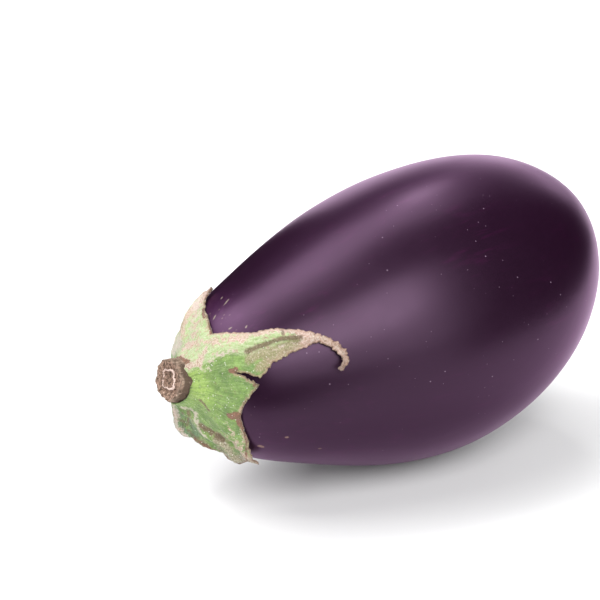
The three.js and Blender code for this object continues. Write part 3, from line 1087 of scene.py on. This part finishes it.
MARKS = {
    # Bright yellow-green by the stem and on the long sepal's root: partly the flesh's own colour, partly
    # painted light.
    Mark.FRESH_AND_LIT: streaks(
        (0.95, 3.4, (7.4, 45), (7.6, 66), (8.6, 86), (9.4, 104)),
        (0.4, 1.6, (27, 46), (32.3, 46), (37, 47.5)),
    ),
    Mark.CREAM: streaks(
        (0.95, 2.6, (12.6, 320), (16.1, 290), (18.1, 299)),
        (0.95, 2.0, (24.9, 328), (27.9, 326), (30.1, 327)),
        (0.60, 1.2, (10, 48), (12.2, 56), (14.3, 43), (17.7, 44), (20.8, 46)),
        (0.55, 1.5, (16.4, 336), (19.1, 334), (23.2, 340)),
        (0.50, 1.6, (33, 54), (37.1, 54.5), (41.2, 55.5), (45.3, 56.5)),
        (0.95, 2.4, (17.6, 278), (21.9, 276), (21.6, 288), (16.6, 281)),
        (0.8, 1.2, (11.5, 204), (15.1, 199), (17.6, 195), (19.6, 191), (21.2, 186)),
        (0.75, 1.0, (8.6, 161), (9.4, 151), (10.8, 149), (12.8, 157), (15.1, 163), (17.1, 163)),
        (0.80, 1.2, (17.1, 163), (19.1, 160), (21.6, 158), (24, 158)),
    ),
    Mark.CORK: streaks(
        (0.85, 1.5, (8.1, 351), (7.8, 15), (8.6, 36), (10.6, 40), (11.8, 30), (13.8, 27)),
        (0.75, 1.4, (9.9, 338), (11.1, 350), (12.3, 355), (11.9, 344)),
        (0.75, 1.3, (22.1, 35), (24.1, 36), (25.1, 42)),
        (0.95, 1.8, (31.6, 41), (34.4, 41.5), (37.1, 42.5), (38.6, 45), (40.9, 47), (45.1, 53)),
        (0.62, 1.1, (18.9, 125), (21.4, 131), (23.9, 138)),
        (0.62, 0.9, (22.9, 124), (25.4, 132), (27.1, 140)),
        (0.95, 1.8, (28, 331), (31, 330), (34.6, 327)),
        (0.80, 0.9, (19.4, 19), (23.4, 29), (27.6, 36), (31.4, 39)),
    ),
    Mark.BLUSHED: streaks(
        (0.70, 3.4, (16, 348), (20, 340), (25, 330), (31, 327)),
        (0.85, 2.2, (15, 325), (19, 322), (22.4, 325), (26, 328)),
        (0.75, 2.4, (12, 345), (14, 10), (19, 30), (25, 37), (30, 40)),
        (0.80, 1.7, (29.5, 63.5), (32, 61.5), (36.9, 58.5), (43.4, 58)),
        (0.70, 2.6, (22, 140), (26, 143), (30, 148), (33, 152)),
        (0.60, 1.5, (21.5, 100), (22, 115), (25, 126), (28, 134), (31, 141)),
        (0.60, 1.2, (12.6, 203), (17, 197), (21, 186), (23, 180)),
    ),
    Mark.OLIVE: streaks(
        (1.0, 2.6, (25.5, 57), (28.6, 56), (30.9, 55.5), (36.9, 55), (42, 56)),
        (0.70, 1.6, (23.5, 316), (19.4, 320), (16.1, 319)),
        (0.70, 1.7, (15.6, 158), (18.4, 152), (20.6, 149), (22.4, 148)),
        (1.1, 2.2, (27.4, 65), (31.4, 60), (34.9, 58.5), (38.4, 57)),
    ),
    Mark.GREY: streaks(
        (0.95, 4.0, (27, 160), (30.5, 155), (32.5, 150)),
        (0.80, 1.6, (20.6, 153), (24, 151), (27, 153)),
        (0.70, 1.5, (21.7, 188), (21.6, 176), (24, 170), (26.4, 168)),
    ),
    Mark.RUST: streaks(
        (0.95, 1.1, (18.4, 64), (20, 63.5)),
        (0.95, 1.5, (18.7, 114), (20.4, 109), (21.4, 113), (22.6, 119)),
        (0.66, 0.6, (22.6, 119), (24.5, 126), (26.5, 133.5), (29.4, 145), (32, 153)),
        (0.85, 0.8, (7.6, 328), (7.8, 350), (7.8, 8), (8.2, 22)),
        (0.75, 0.8, (20.9, 181), (22.8, 172), (24.6, 167), (26.6, 166)),
        (0.80, 0.9, (24.6, 339), (22.4, 344), (21.6, 349)),
        (0.80, 0.8, (21.6, 356), (19.6, 4), (18.1, 12)),
        (0.70, 0.9, (25.6, 77), (24.9, 79)),
    ),
    # Painted shade along the long sepal's middle crease, the lower grooves and a crack in the long sepal's
    # edge, with a few short dark dashes.
    Mark.SHADE: streaks(
        (0.95, 1.1, (24.9, 50.5), (28.9, 49.5), (33.6, 49.5), (36.4, 49.5), (39.4, 51), (42.5, 52.5)),
        (1.15, 0.9, (15.2, 158.5), (16.8, 156.5), (18.2, 153)),
        (1.05, 0.8, (19.7, 151.5), (20.8, 150), (21.8, 149)),
        (0.95, 0.55, (9.5, 112), (11.1, 117), (12.8, 123)),
        (0.75, 0.7, (15.6, 194), (16, 191)),
        (0.75, 0.7, (10.1, 168), (13, 182), (17.1, 188)),
        (0.75, 0.7, (9.8, 157), (11.5, 160), (13.8, 168)),
        (0.75, 0.7, (18.6, 187), (19.9, 184), (20.6, 178)),
        (0.60, 0.7, (13, 76), (13.2, 78)),
        (0.55, 0.7, (19, 85), (19.2, 87)),
        (1.5, 0.55, (38.6, 42.2), (38, 44.6), (37.6, 47.6)),
    ),
}


@dataclass
class Calyx:
    """The sheet of joined sepals, cut flat, laid over the fruit's end and given its thickness.

    Lengths are in millimetres and directions in degrees. The top that is painted pale as lit is a band of
    columns, counted from beside it, and the folded underside one of directions. Each dry tip holds the
    distances where it starts and is full, and the directions that it lies between.
    """

    form: Form
    finish: CalyxFinish
    collar_radius: float = 6.6
    cap_rows: int = 38
    gap: float = 0.2
    edge_thickness: float = 0.45
    body_thickness: float = 1.1
    edge_reach: float = 1.3
    flesh_rise: float = 0.6
    flesh_fade: float = 10.0
    cone_rise: float = 5.6
    cone_climb: float = 3.0
    cone_direction: float = -10.0
    cone_power: int = 4
    cone_fade: float = 4.0
    end_roundness: float = 42.0
    rib_lift: float = 0.4
    rib_height: float = 0.22
    rib_size: float = 1.5
    rib_radius: float = 14.0
    rib_pitch: float = 0.18
    lump_height: float = 0.16
    lump_size: float = 2.2
    row_length: float = 0.4
    ragged: float = 0.85
    tooth_size: float = 1.1
    notch_size: float = 0.55
    curl: float = 0.45
    curl_mean: float = 0.6
    curl_width: float = 1.1
    curl_size: float = 3.0
    lobes_from: tuple[float, float] = (9, 15)
    rim_power: float = 1.2
    vein_radius: float = 20.0
    vein_pitch: float = 0.14
    # Painted light: the band of columns on top that the finish paints pale as lit.
    lit_top_start: int = 90
    lit_top_band: tuple[float, ...] = (0, 18, 132, 112)
    lit_top_reach: tuple[float, float] = (46, 34)
    fold_sides: tuple[float, ...] = (168, 182, 262, 240)
    fold_from: tuple[float, float] = (10, 14)
    dry_tips: tuple[tuple[float, ...], ...] = ((36, 47, 35, 85), (26, 34, 290, 345), (27, 34, 245, 290))
    columns: int = sum(sepal.columns for sepal in SEPALS)

    def build(self) -> bpy.types.Object:
        """Models the whole calyx.

        Returns:
            The calyx.
        """
        patterns = [self.cut_cap(), *(self.cut_sepal(sepal, number) for number, sepal in enumerate(SEPALS))]
        sheet = self.sew(patterns)
        chart = vertex_places(sheet)[:, :2] / MM
        self.measure_rim(sheet, chart)
        self.mark(sheet, chart)
        low, high = self.faces(sheet, chart)
        move_vertices(sheet, high * MM)
        self.thicken(sheet, low)
        hand_in(sheet, self.finish.make(), "calyx")
        return sheet

    def lay_flat(
        self, pattern: bpy.types.Object, polar: Points, lift: Points, column: Points, run: Points
    ) -> bpy.types.Object:
        """Moves a pattern's vertices to their places in the chart and notes how its fibres run.

        Args:
            pattern: The pattern.
            polar: Distances and directions from the stem's middle.
            lift: How far the under side stands off the skin.
            column: Which fibre a vertex lies on, counted round the whole calyx.
            run: How far along the fibre it lies, from the sepals' roots outwards.

        Returns:
            The pattern.
        """
        chart = self.form.chart(polar[:, 0], polar[:, 1])
        move_vertices(pattern, np.column_stack([chart, np.zeros(len(chart))]) * MM)
        for name, values in (("lift", lift), ("column", column), ("run", run)):
            paint(pattern, name, values)
        return pattern

    def cut_cap(self) -> bpy.types.Object:
        """The ring from the collar out to the sepals' roots.

        Returns:
            The pattern.
        """
        pattern, across, along = flat_grid("cap", self.columns, self.cap_rows)
        starts = np.cumsum([0] + [sepal.columns for sepal in SEPALS])
        roots = [sepal.stations[0][:2] for sepal in SEPALS] + [SEPALS[-1].stations[0][2:]]
        reach, way = np.array(roots).T
        column = (across + 1) / 2 * self.columns
        direction = np.interp(column, starts, way)
        width = np.interp(column, starts, reach) - self.collar_radius
        polar = np.column_stack([self.collar_radius + width * along, direction])
        return self.lay_flat(pattern, polar, np.zeros(len(along)), column, (along - 1) * width)

    def cut_sepal(self, sepal: Sepal, number: int) -> bpy.types.Object:
        """One sepal's pattern with its ragged edges.

        Args:
            sepal: The sepal.
            number: Its place in the row, which sets its irregularities.

        Returns:
            The pattern.
        """
        pattern, across, along = flat_grid(sepal.name, sepal.columns, sepal.rows)
        stations = np.array(sepal.stations)
        left, right = spline(stations[:, :2], along), spline(stations[:, 2:], along)
        polar = left + (right - left) * ((across + 1) / 2)[:, None]
        middle = (left + right) / 2
        half = np.hypot(right[:, 0] - left[:, 0], np.radians(right[:, 1] - left[:, 1]) * middle[:, 0]) / 2
        side = np.where(across > 0, 7.3, 0.0) + 13.1 * number
        edge = np.column_stack([along * sepal.rows * self.row_length, side])
        teeth = lumps(edge, self.tooth_size, 3) * self.ragged
        teeth += np.abs(lumps(edge, self.notch_size, 2, 3.0)) * -0.5 * self.ragged
        teeth *= smooth_step(0, 0.08, along) * np.abs(across) ** 6
        polar += (polar - middle) * (teeth / np.maximum(half, 0.5))[:, None]
        share = self.rib_lift + (1 - self.rib_lift) * np.abs(across)
        lift = sepal.lift * smooth_step(sepal.lift_from, 1, along) * share
        first = sum(other.columns for other in SEPALS[:number])
        column = first + (across + 1) / 2 * sepal.columns
        spine = spline((stations[:, :2] + stations[:, 2:]) / 2, np.linspace(0, 1, 60))
        length = np.linalg.norm(np.diff(self.form.chart(*spine.T), axis=0), axis=1).sum()
        return self.lay_flat(pattern, polar, lift, column, along * length)

    def sew(self, patterns: list[bpy.types.Object]) -> bpy.types.Object:
        """Joins the patterns into one flat sheet.

        Args:
            patterns: The cap and the sepals.

        Returns:
            The sheet.
        """
        deselect()
        for pattern in patterns:
            pattern.select_set(True)
        bpy.context.view_layer.objects.active = patterns[0]
        bpy.ops.object.join()
        sheet = bpy.context.object
        sheet.name = "calyx_sheet"
        edit_all(WELD)
        return sheet

    def measure_rim(self, sheet: bpy.types.Object, chart: Points) -> None:
        """Stores how far each vertex lies from the nearest free edge, in millimetres.

        Args:
            sheet: The flat sheet.
            chart: Its vertices in the chart, in millimetres.
        """
        mesh = sheet.data
        uses = np.bincount(read(mesh.loops, "edge_index", kind=int), minlength=len(mesh.edges))
        border = np.unique(read(mesh.edges, "vertices", 2, int).reshape(-1, 2)[uses == 1])
        distance, _ = self.form.from_stem(chart)
        free = border[distance[border] > self.collar_radius + 0.5]
        tree = kdtree.KDTree(len(free))
        for k in free:
            tree.insert((*chart[k], 0), int(k))
        tree.balance()
        paint(sheet, "rim", np.array([tree.find((x, y, 0))[2] for x, y in chart]))

    def mark(self, sheet: bpy.types.Object, chart: Points) -> None:
        """Stores what the calyx's finish reads.

        Args:
            sheet: The flat sheet.
            chart: Its vertices in the chart, in millimetres.
        """
        distance, direction = self.form.from_stem(chart)
        column, run = painted(sheet, "column"), painted(sheet, "run")
        for kind, bands in MARKS.items():
            paint(sheet, kind.value, np.max([band.reach(self.form, chart) for band in bands], axis=0))
        # Painted light: marks the lit top of the calyx, which the finish paints pale.
        pale = soft_band(self.lit_top_band, (column + self.lit_top_start) % self.columns)
        paint(sheet, "pale", pale * smooth_step(*self.lit_top_reach, distance))
        dry = [
            smooth_step(start, full, distance) * (direction > left) * (direction < right)
            for start, full, left, right in self.dry_tips
        ]
        paint(sheet, "dry", np.max(dry, axis=0))
        fold = soft_band(self.fold_sides, direction)
        paint(sheet, "fold", fold * smooth_step(*self.fold_from, distance))
        paint(sheet, "mottle", smooth_step(*self.lobes_from, distance))
        angle = 2 * math.pi * column / self.columns
        paint(sheet, "veins", wrapped(angle, self.vein_radius, run * self.vein_pitch))

    def faces(self, sheet: bpy.types.Object, chart: Points) -> tuple[Points, Points]:
        """The under and upper side over every chart place, in millimetres.

        Args:
            sheet: The flat sheet.
            chart: Its vertices in the chart.

        Returns:
            The points of the under side and of the upper side.
        """
        distance, direction = self.form.from_stem(chart)
        rim = painted(sheet, "rim")
        angle = np.radians(direction)
        beyond = np.maximum(distance - self.collar_radius, 0)
        climb = np.cos(angle - math.radians(self.cone_direction)) ** self.cone_power
        cone = (self.cone_rise + self.cone_climb * climb) * np.exp(-beyond / self.cone_fade)
        body = self.body_thickness + self.flesh_rise * np.exp(-beyond / self.flesh_fade) + cone
        body += sum(fold.reach(self.form, chart) for fold in FOLDS)
        ribs = lumps(wrapped(angle, self.rib_radius, distance * self.rib_pitch), self.rib_size, 3)
        body += self.rib_height * ribs + self.lump_height * lumps(chart, self.lump_size, 3, 9.0)
        full = 1 - np.exp(-((rim / self.edge_reach) ** self.rim_power))
        thickness = np.maximum(self.edge_thickness + (body - self.edge_thickness) * full, self.edge_thickness)
        wave = self.curl_mean + lumps(chart, self.curl_size, 2, 4.0)
        curl = self.curl * np.exp(-rim / self.curl_width) * wave * smooth_step(*self.lobes_from, distance)
        low = self.gap + painted(sheet, "lift") + np.maximum(curl, 0)
        drawn_in = self.form.chart(distance / (1 + cone / self.end_roundness), direction)
        return self.form.stem_end(chart, low), self.form.stem_end(drawn_in, low + thickness)

    def thicken(self, sheet: bpy.types.Object, low: Points) -> None:
        """Gives the sheet its under side and its edges.

        Args:
            sheet: The sheet, whose vertices are on its upper side.
            low: The under side's points, in millimetres.
        """
        paint(sheet, "number", np.arange(len(sheet.data.vertices)))
        edit_all(partial(bpy.ops.mesh.extrude_region_move, TRANSFORM_OT_translate={"value": (0, 0, -MM)}))
        chosen = read(sheet.data.vertices, "select", kind=bool)
        places = vertex_places(sheet)
        places[chosen] = low[painted(sheet, "number").astype(int)[chosen]] * MM
        move_vertices(sheet, places)
        edit_all(FACE_OUT)


# ---- The stem ----


@dataclass
class Stem:
    """The cut stem stump: corky bark that leans up out of the calyx, and the cut face.

    The face's profile holds shares of the radius with the rise there. Each wave of the bark's outline holds
    its height, how often it goes round and where it starts. The bands are shares of the radius. Angles round
    the axis are 0 on top and 3/2 pi on the near side.
    """

    form: Form
    finish: StemFinish
    sides: int = 168
    bark_rows: int = 46
    radius: float = 6.9
    root_radius: float = 6.7
    root: float = 1.2
    length: float = 10.6
    lean: float = math.radians(19)
    ridge_height: float = 0.42
    grain_radius: float = 5.0
    grain_pitch: float = 1.6
    pit_depth: float = 0.28
    pit_size: float = 0.9
    unevenness: float = 0.4
    pith_turn: float = 0.25
    pith_squareness: float = 5.0
    pith_band: tuple[float, ...] = (0.8, 0.52, 0.2, 0.38)
    ring_band: tuple[float, ...] = (0.525, 0.50, 0.40, 0.43)
    lit_side: float = 5.2
    shaded_side: float = 4.7
    waves: tuple[Colour, ...] = ((0.41, 1, -3.6), (0.22, 5, 1), (0.12, 9, 0))
    face_profile: tuple[tuple[float, float], ...] = (
        (0.985, 0.18), (0.95, 0.26), (0.90, 0.20), (0.84, 0.12), (0.78, 0.02), (0.72, -0.12), (0.66, -0.35),
        (0.60, -0.55), (0.55, -0.60), (0.52, -0.35), (0.50, 0.12), (0.48, 0.26), (0.45, 0.24), (0.43, 0.05),
        (0.41, -0.35), (0.38, -0.65), (0.33, -0.70), (0.27, -0.85), (0.20, -0.70), (0.13, -0.95),
        (0.06, -0.85), (0.0, -0.90),
    )

    def build(self) -> bpy.types.Object:
        """Models the stump from a grid that is rolled into a tube.

        Returns:
            The stem.
        """
        rows = self.profile()
        last = len(rows) - 1
        stump, across, along = flat_grid("stem_stump", self.sides, last)
        angle = np.round((across + 1) / 2 * self.sides) % self.sides * 2 * math.pi / self.sides
        stations = rows[np.round(along * last).astype(int)].T
        move_vertices(stump, self.roll(stations, angle) * MM)
        self.mark(stump, stations, angle)
        edit_all(WELD, FACE_OUT)
        hand_in(stump, self.finish.make(), "stem")
        return stump

    def profile(self) -> Points:
        """The stump's outline from the root's middle to the pith.

        Returns:
            Rows of the share along the axis, the radius, the rise beyond the end and 1 on the cut face.
        """
        rows = [(0.0, 0.0, 0.0, 0.0), (0.0, self.root_radius * 0.6, 0.0, 0.0)]
        for k in range(self.bark_rows + 1):
            share = k / self.bark_rows
            widened = float(smooth_step(0.2, 0.6, share))
            rows.append((share, self.root_radius + (self.radius - self.root_radius) * widened, 0.0, 0.0))
        rows.extend((1.0, self.radius * share, rise, 1.0) for share, rise in self.face_profile)
        return np.array(rows)

    def axis(self) -> tuple[Points, Points]:
        """The bowed axis.

        Returns:
            Three control points and the sideways direction, in millimetres.
        """
        ring = self.form.chart(np.full(4, self.radius), np.array([0, 90, 180, 270]))
        above, near, below, far = self.form.stem_end(ring, np.full(4, self.root))
        straight = np.cross(near - far, above - below)
        straight /= np.linalg.norm(straight)
        base = self.form.stem_end(self.form.chart(np.zeros(1), np.zeros(1)), self.root)[0]
        leaning = self.form.at_rest(np.array([[-math.cos(self.lean), 0, math.sin(self.lean)]]))[0]
        middle = base + straight * self.length / 2
        return np.array([base, middle, middle + leaning * self.length / 2]), np.array([0.0, 1.0, 0.0])

    def roll(self, stations: Points, angle: Points) -> Points:
        """Rolls the grid round the axis.

        Args:
            stations: The profile's four values for each vertex.
            angle: Each vertex's angle round the axis.

        Returns:
            One point per vertex, in millimetres.
        """
        (base, middle, end), sideways = self.axis()
        share, radius, rise, face = stations
        t = share[:, None]
        centre = (1 - t) ** 2 * base + 2 * t * (1 - t) * middle + t**2 * end
        heading = (1 - t) * (middle - base) + t * (end - middle)
        heading /= np.linalg.norm(heading, axis=1, keepdims=True)
        up = np.cross(sideways, heading)
        up /= np.linalg.norm(up, axis=1, keepdims=True)
        spoke = up * np.cos(angle)[:, None] + sideways * np.sin(angle)[:, None]
        grain = wrapped(angle, self.grain_radius, share * self.grain_pitch)
        bark = self.ridge_height * lumps(grain, 1.0, 4) * (1 - 0.6 * face)
        bark += sum(height * np.cos(times * angle + start) for height, times, start in self.waves)
        worn = radius / self.radius
        turned, power = angle - self.pith_turn, self.pith_squareness
        square = 1 / (np.abs(np.cos(turned)) ** power + np.abs(np.sin(turned)) ** power) ** (1 / power)
        boxed = soft_band(self.pith_band, worn) * face
        radius = radius * (1 + boxed * (square / 1.08 - 1)) + bark * np.minimum(worn * 1.2, 1)
        pits = lumps(wrapped(angle, radius, share), self.pit_size, 3, 2.0)
        rise = rise + face * pits * self.pit_depth
        rim = smooth_step(0.75, 1, share) * (1 - face)
        uneven = lumps(grain * 0.6, 1.0, 2, 6.0)
        rise = rise + rim * uneven * self.unevenness + face * uneven * self.unevenness * worn
        return centre + spoke * radius[:, None] + heading * rise[:, None]

    def mark(self, stump: bpy.types.Object, stations: Points, angle: Points) -> None:
        """Stores what the stem's finish reads.

        Args:
            stump: The stem.
            stations: The profile's four values for each vertex.
            angle: Each vertex's angle round the axis.
        """
        share, radius, _, face = stations
        worn = radius / self.radius
        # Painted light and shade: the ring is painted brighter towards the lit side, and the bark darker at
        # the root on the shaded side.
        lit = 0.55 + 0.45 * smooth_step(-0.8, 0.1, np.cos(angle - self.lit_side))
        shaded = smooth_step(0.1, 0.7, np.cos(angle - self.shaded_side))
        paint(stump, "face", face * smooth_step(0.97, 0.88, worn))
        paint(stump, "ring", lit * face * soft_band(self.ring_band, worn))
        paint(stump, "root", smooth_step(1.0, 0.8, share) * shaded * (1 - face))
        paint(stump, "grain", wrapped(angle, 6, share * 2.0 + face * 3))


def hand_in(piece: bpy.types.Object, finish: bpy.types.Material, node: str) -> None:
    """Shades and dresses a finished piece and puts it in its CAD node's place.

    Args:
        piece: The finished piece, at the origin.
        finish: Its material.
        node: The CAD node that it stands for.
    """
    bpy.ops.object.shade_smooth()
    piece.data.materials.append(finish)
    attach(piece, "root")
    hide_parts(node)


# ---- The studio ----


@dataclass(frozen=True)
class Lamp:
    """A soft rectangular lamp that shines on the eggplant from a direction, in degrees and metres.

    Azimuth 0 stands behind the eggplant, towards +Y, and 90 at its blossom end. A lamp that is not glossy
    brightens surfaces without mirroring in them.
    """

    name: str
    azimuth: float
    elevation: float
    distance: float
    width: float
    height: float
    power: float
    glossy: bool = True


@dataclass(frozen=True)
class Card:
    """A black card, stood on the floor, that only reflections see: direction, distance, width, height."""

    name: str
    azimuth: float
    distance: float
    width: float
    height: float


@dataclass
class Studio:
    """The pale floor, the soft lamps, the dim room and the camera."""

    floor_finish: PlainFinish = PlainFinish("pale_floor", 0.84, 0.9)
    card_finish: PlainFinish = PlainFinish("black_card", 0.02, 1.0)
    floor_size: float = 24.0
    aim: Colour = (0.0, 0.0, 0.048)
    room: tuple[tuple[float, Colour], ...] = ((0.26, (0.95, 0.95, 0.96)), (0.44, (0.075, 0.075, 0.085)))
    camera_place: Colour = (-0.49686, -0.64627, 0.41886)
    camera_azimuth: float = 35.67
    camera_elevation: float = -24.0
    lens: float = 160.26
    sensor: float = 36.0
    lamps: tuple[Lamp, ...] = (
        Lamp("back_lamp", 12, 65.5, 1.8, 1.4, 0.75, 14.5),
        Lamp("back_glow", -62, 70, 2.0, 1.1, 0.9, 12),
        Lamp("corner_lamp", 38, 48, 1.9, 0.24, 0.16, 3.0),
        Lamp("front_lamp", -166, 45, 1.8, 0.8, 1.15, 20),
        Lamp("front_glow", 178, 29, 1.9, 1.7, 1.6, 18),
        Lamp("side_glow", -44, 46, 1.8, 1.3, 0.9, 18),
        Lamp("right_glow", 56, 20, 1.9, 1.0, 1.0, 2.2),
        Lamp("rim_lamp", 34, 4, 1.9, 1.0, 0.35, 1.2),
        Lamp("fill", 0, 88, 2.4, 3.2, 3.2, 6, glossy=False),
    )
    cards: tuple[Card, ...] = (
        Card("right_card", 121, 0.29, 0.60, 0.55),
        Card("left_card", -130, 0.45, 0.40, 0.22),
        Card("front_card", -146, 0.26, 0.20, 0.08),
        Card("back_card", -15, 0.146, 0.176, 0.15),
        Card("low_card", -132, 0.130, 0.10, 0.065),
    )

    def build(self) -> None:
        """Sets everything up."""
        deselect()
        bpy.ops.mesh.primitive_plane_add(size=self.floor_size)
        self.stage("floor", self.floor_finish)
        for lamp in self.lamps:
            self.hang(lamp)
        for card in self.cards:
            self.stand(card)
        self.light_room()
        self.place_camera()
        bpy.context.scene.view_settings.view_transform = "Standard"

    def stage(self, name: str, finish: PlainFinish) -> bpy.types.Object:
        """Names and dresses the newest board.

        Args:
            name: Its name.
            finish: Its finish.

        Returns:
            The board.
        """
        board = bpy.context.object
        board.name = name
        board.data.materials.append(finish.make())
        return board

    def hang(self, lamp: Lamp) -> None:
        """Adds one lamp, turned to the eggplant.

        Args:
            lamp: The lamp.
        """
        out = toward(lamp.azimuth, lamp.elevation)
        deselect()
        bpy.ops.object.light_add(type="AREA", location=Vector(self.aim) + out * lamp.distance)
        light = bpy.context.object
        light.name = lamp.name
        light.rotation_euler = out.to_track_quat("Z", "Y").to_euler()
        light.data.shape = "RECTANGLE"
        light.data.size, light.data.size_y = lamp.width, lamp.height
        light.data.energy = lamp.power
        light.visible_camera = False
        light.visible_glossy = lamp.glossy

    def stand(self, card: Card) -> None:
        """Adds one black card, faced to the eggplant.

        Args:
            card: The card.
        """
        out = toward(card.azimuth) * card.distance
        deselect()
        bpy.ops.mesh.primitive_plane_add(size=1, location=(*out.xy, card.height / 2))
        board = bpy.context.object
        board.scale = (card.width, card.height, 1)
        board.rotation_euler = (math.pi / 2, 0, -math.radians(card.azimuth))
        bpy.ops.object.transform_apply(location=True, rotation=True, scale=True)
        board = self.stage(card.name, self.card_finish)
        board.visible_camera = board.visible_diffuse = board.visible_shadow = False

    def light_room(self) -> None:
        """A room that is bright near the horizon and dim above."""
        bench = Bench("room", world=True)
        bpy.context.scene.world = bench.owner
        direction = bench.out("ShaderNodeTexCoord", "Generated")
        height = bench.out("ShaderNodeSeparateXYZ", "Z", None, {"Vector": direction})
        colour = bench.out("ShaderNodeValToRGB", "Color", {"stops": self.room}, {"Fac": height})
        glow = bench.out("ShaderNodeBackground", "Background", None, {"Color": colour})
        bench.node("ShaderNodeOutputWorld", None, {"Surface": glow})

    def place_camera(self) -> None:
        """The camera, level and looking down on the eggplant from the stem end."""
        deselect()
        bpy.ops.object.camera_add(location=self.camera_place)
        camera = bpy.context.object
        look = toward(self.camera_azimuth, self.camera_elevation)
        camera.rotation_euler = look.to_track_quat("-Z", "Y").to_euler()
        camera.data.lens, camera.data.sensor_width = self.lens, self.sensor
        bpy.context.scene.camera = camera


def main() -> None:
    """Builds the studio and the eggplant."""
    logging.basicConfig(level=logging.INFO, format="%(name)s: %(message)s")
    form = Form(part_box("fruit"))
    Studio().build()
    for part in (Fruit(form, SkinFinish()), Calyx(form, CalyxFinish()), Stem(form, StemFinish())):
        piece = part.build()
        log.info("%s: %d faces", piece.name, len(piece.data.polygons))


if __name__ == "__main__":
    main()
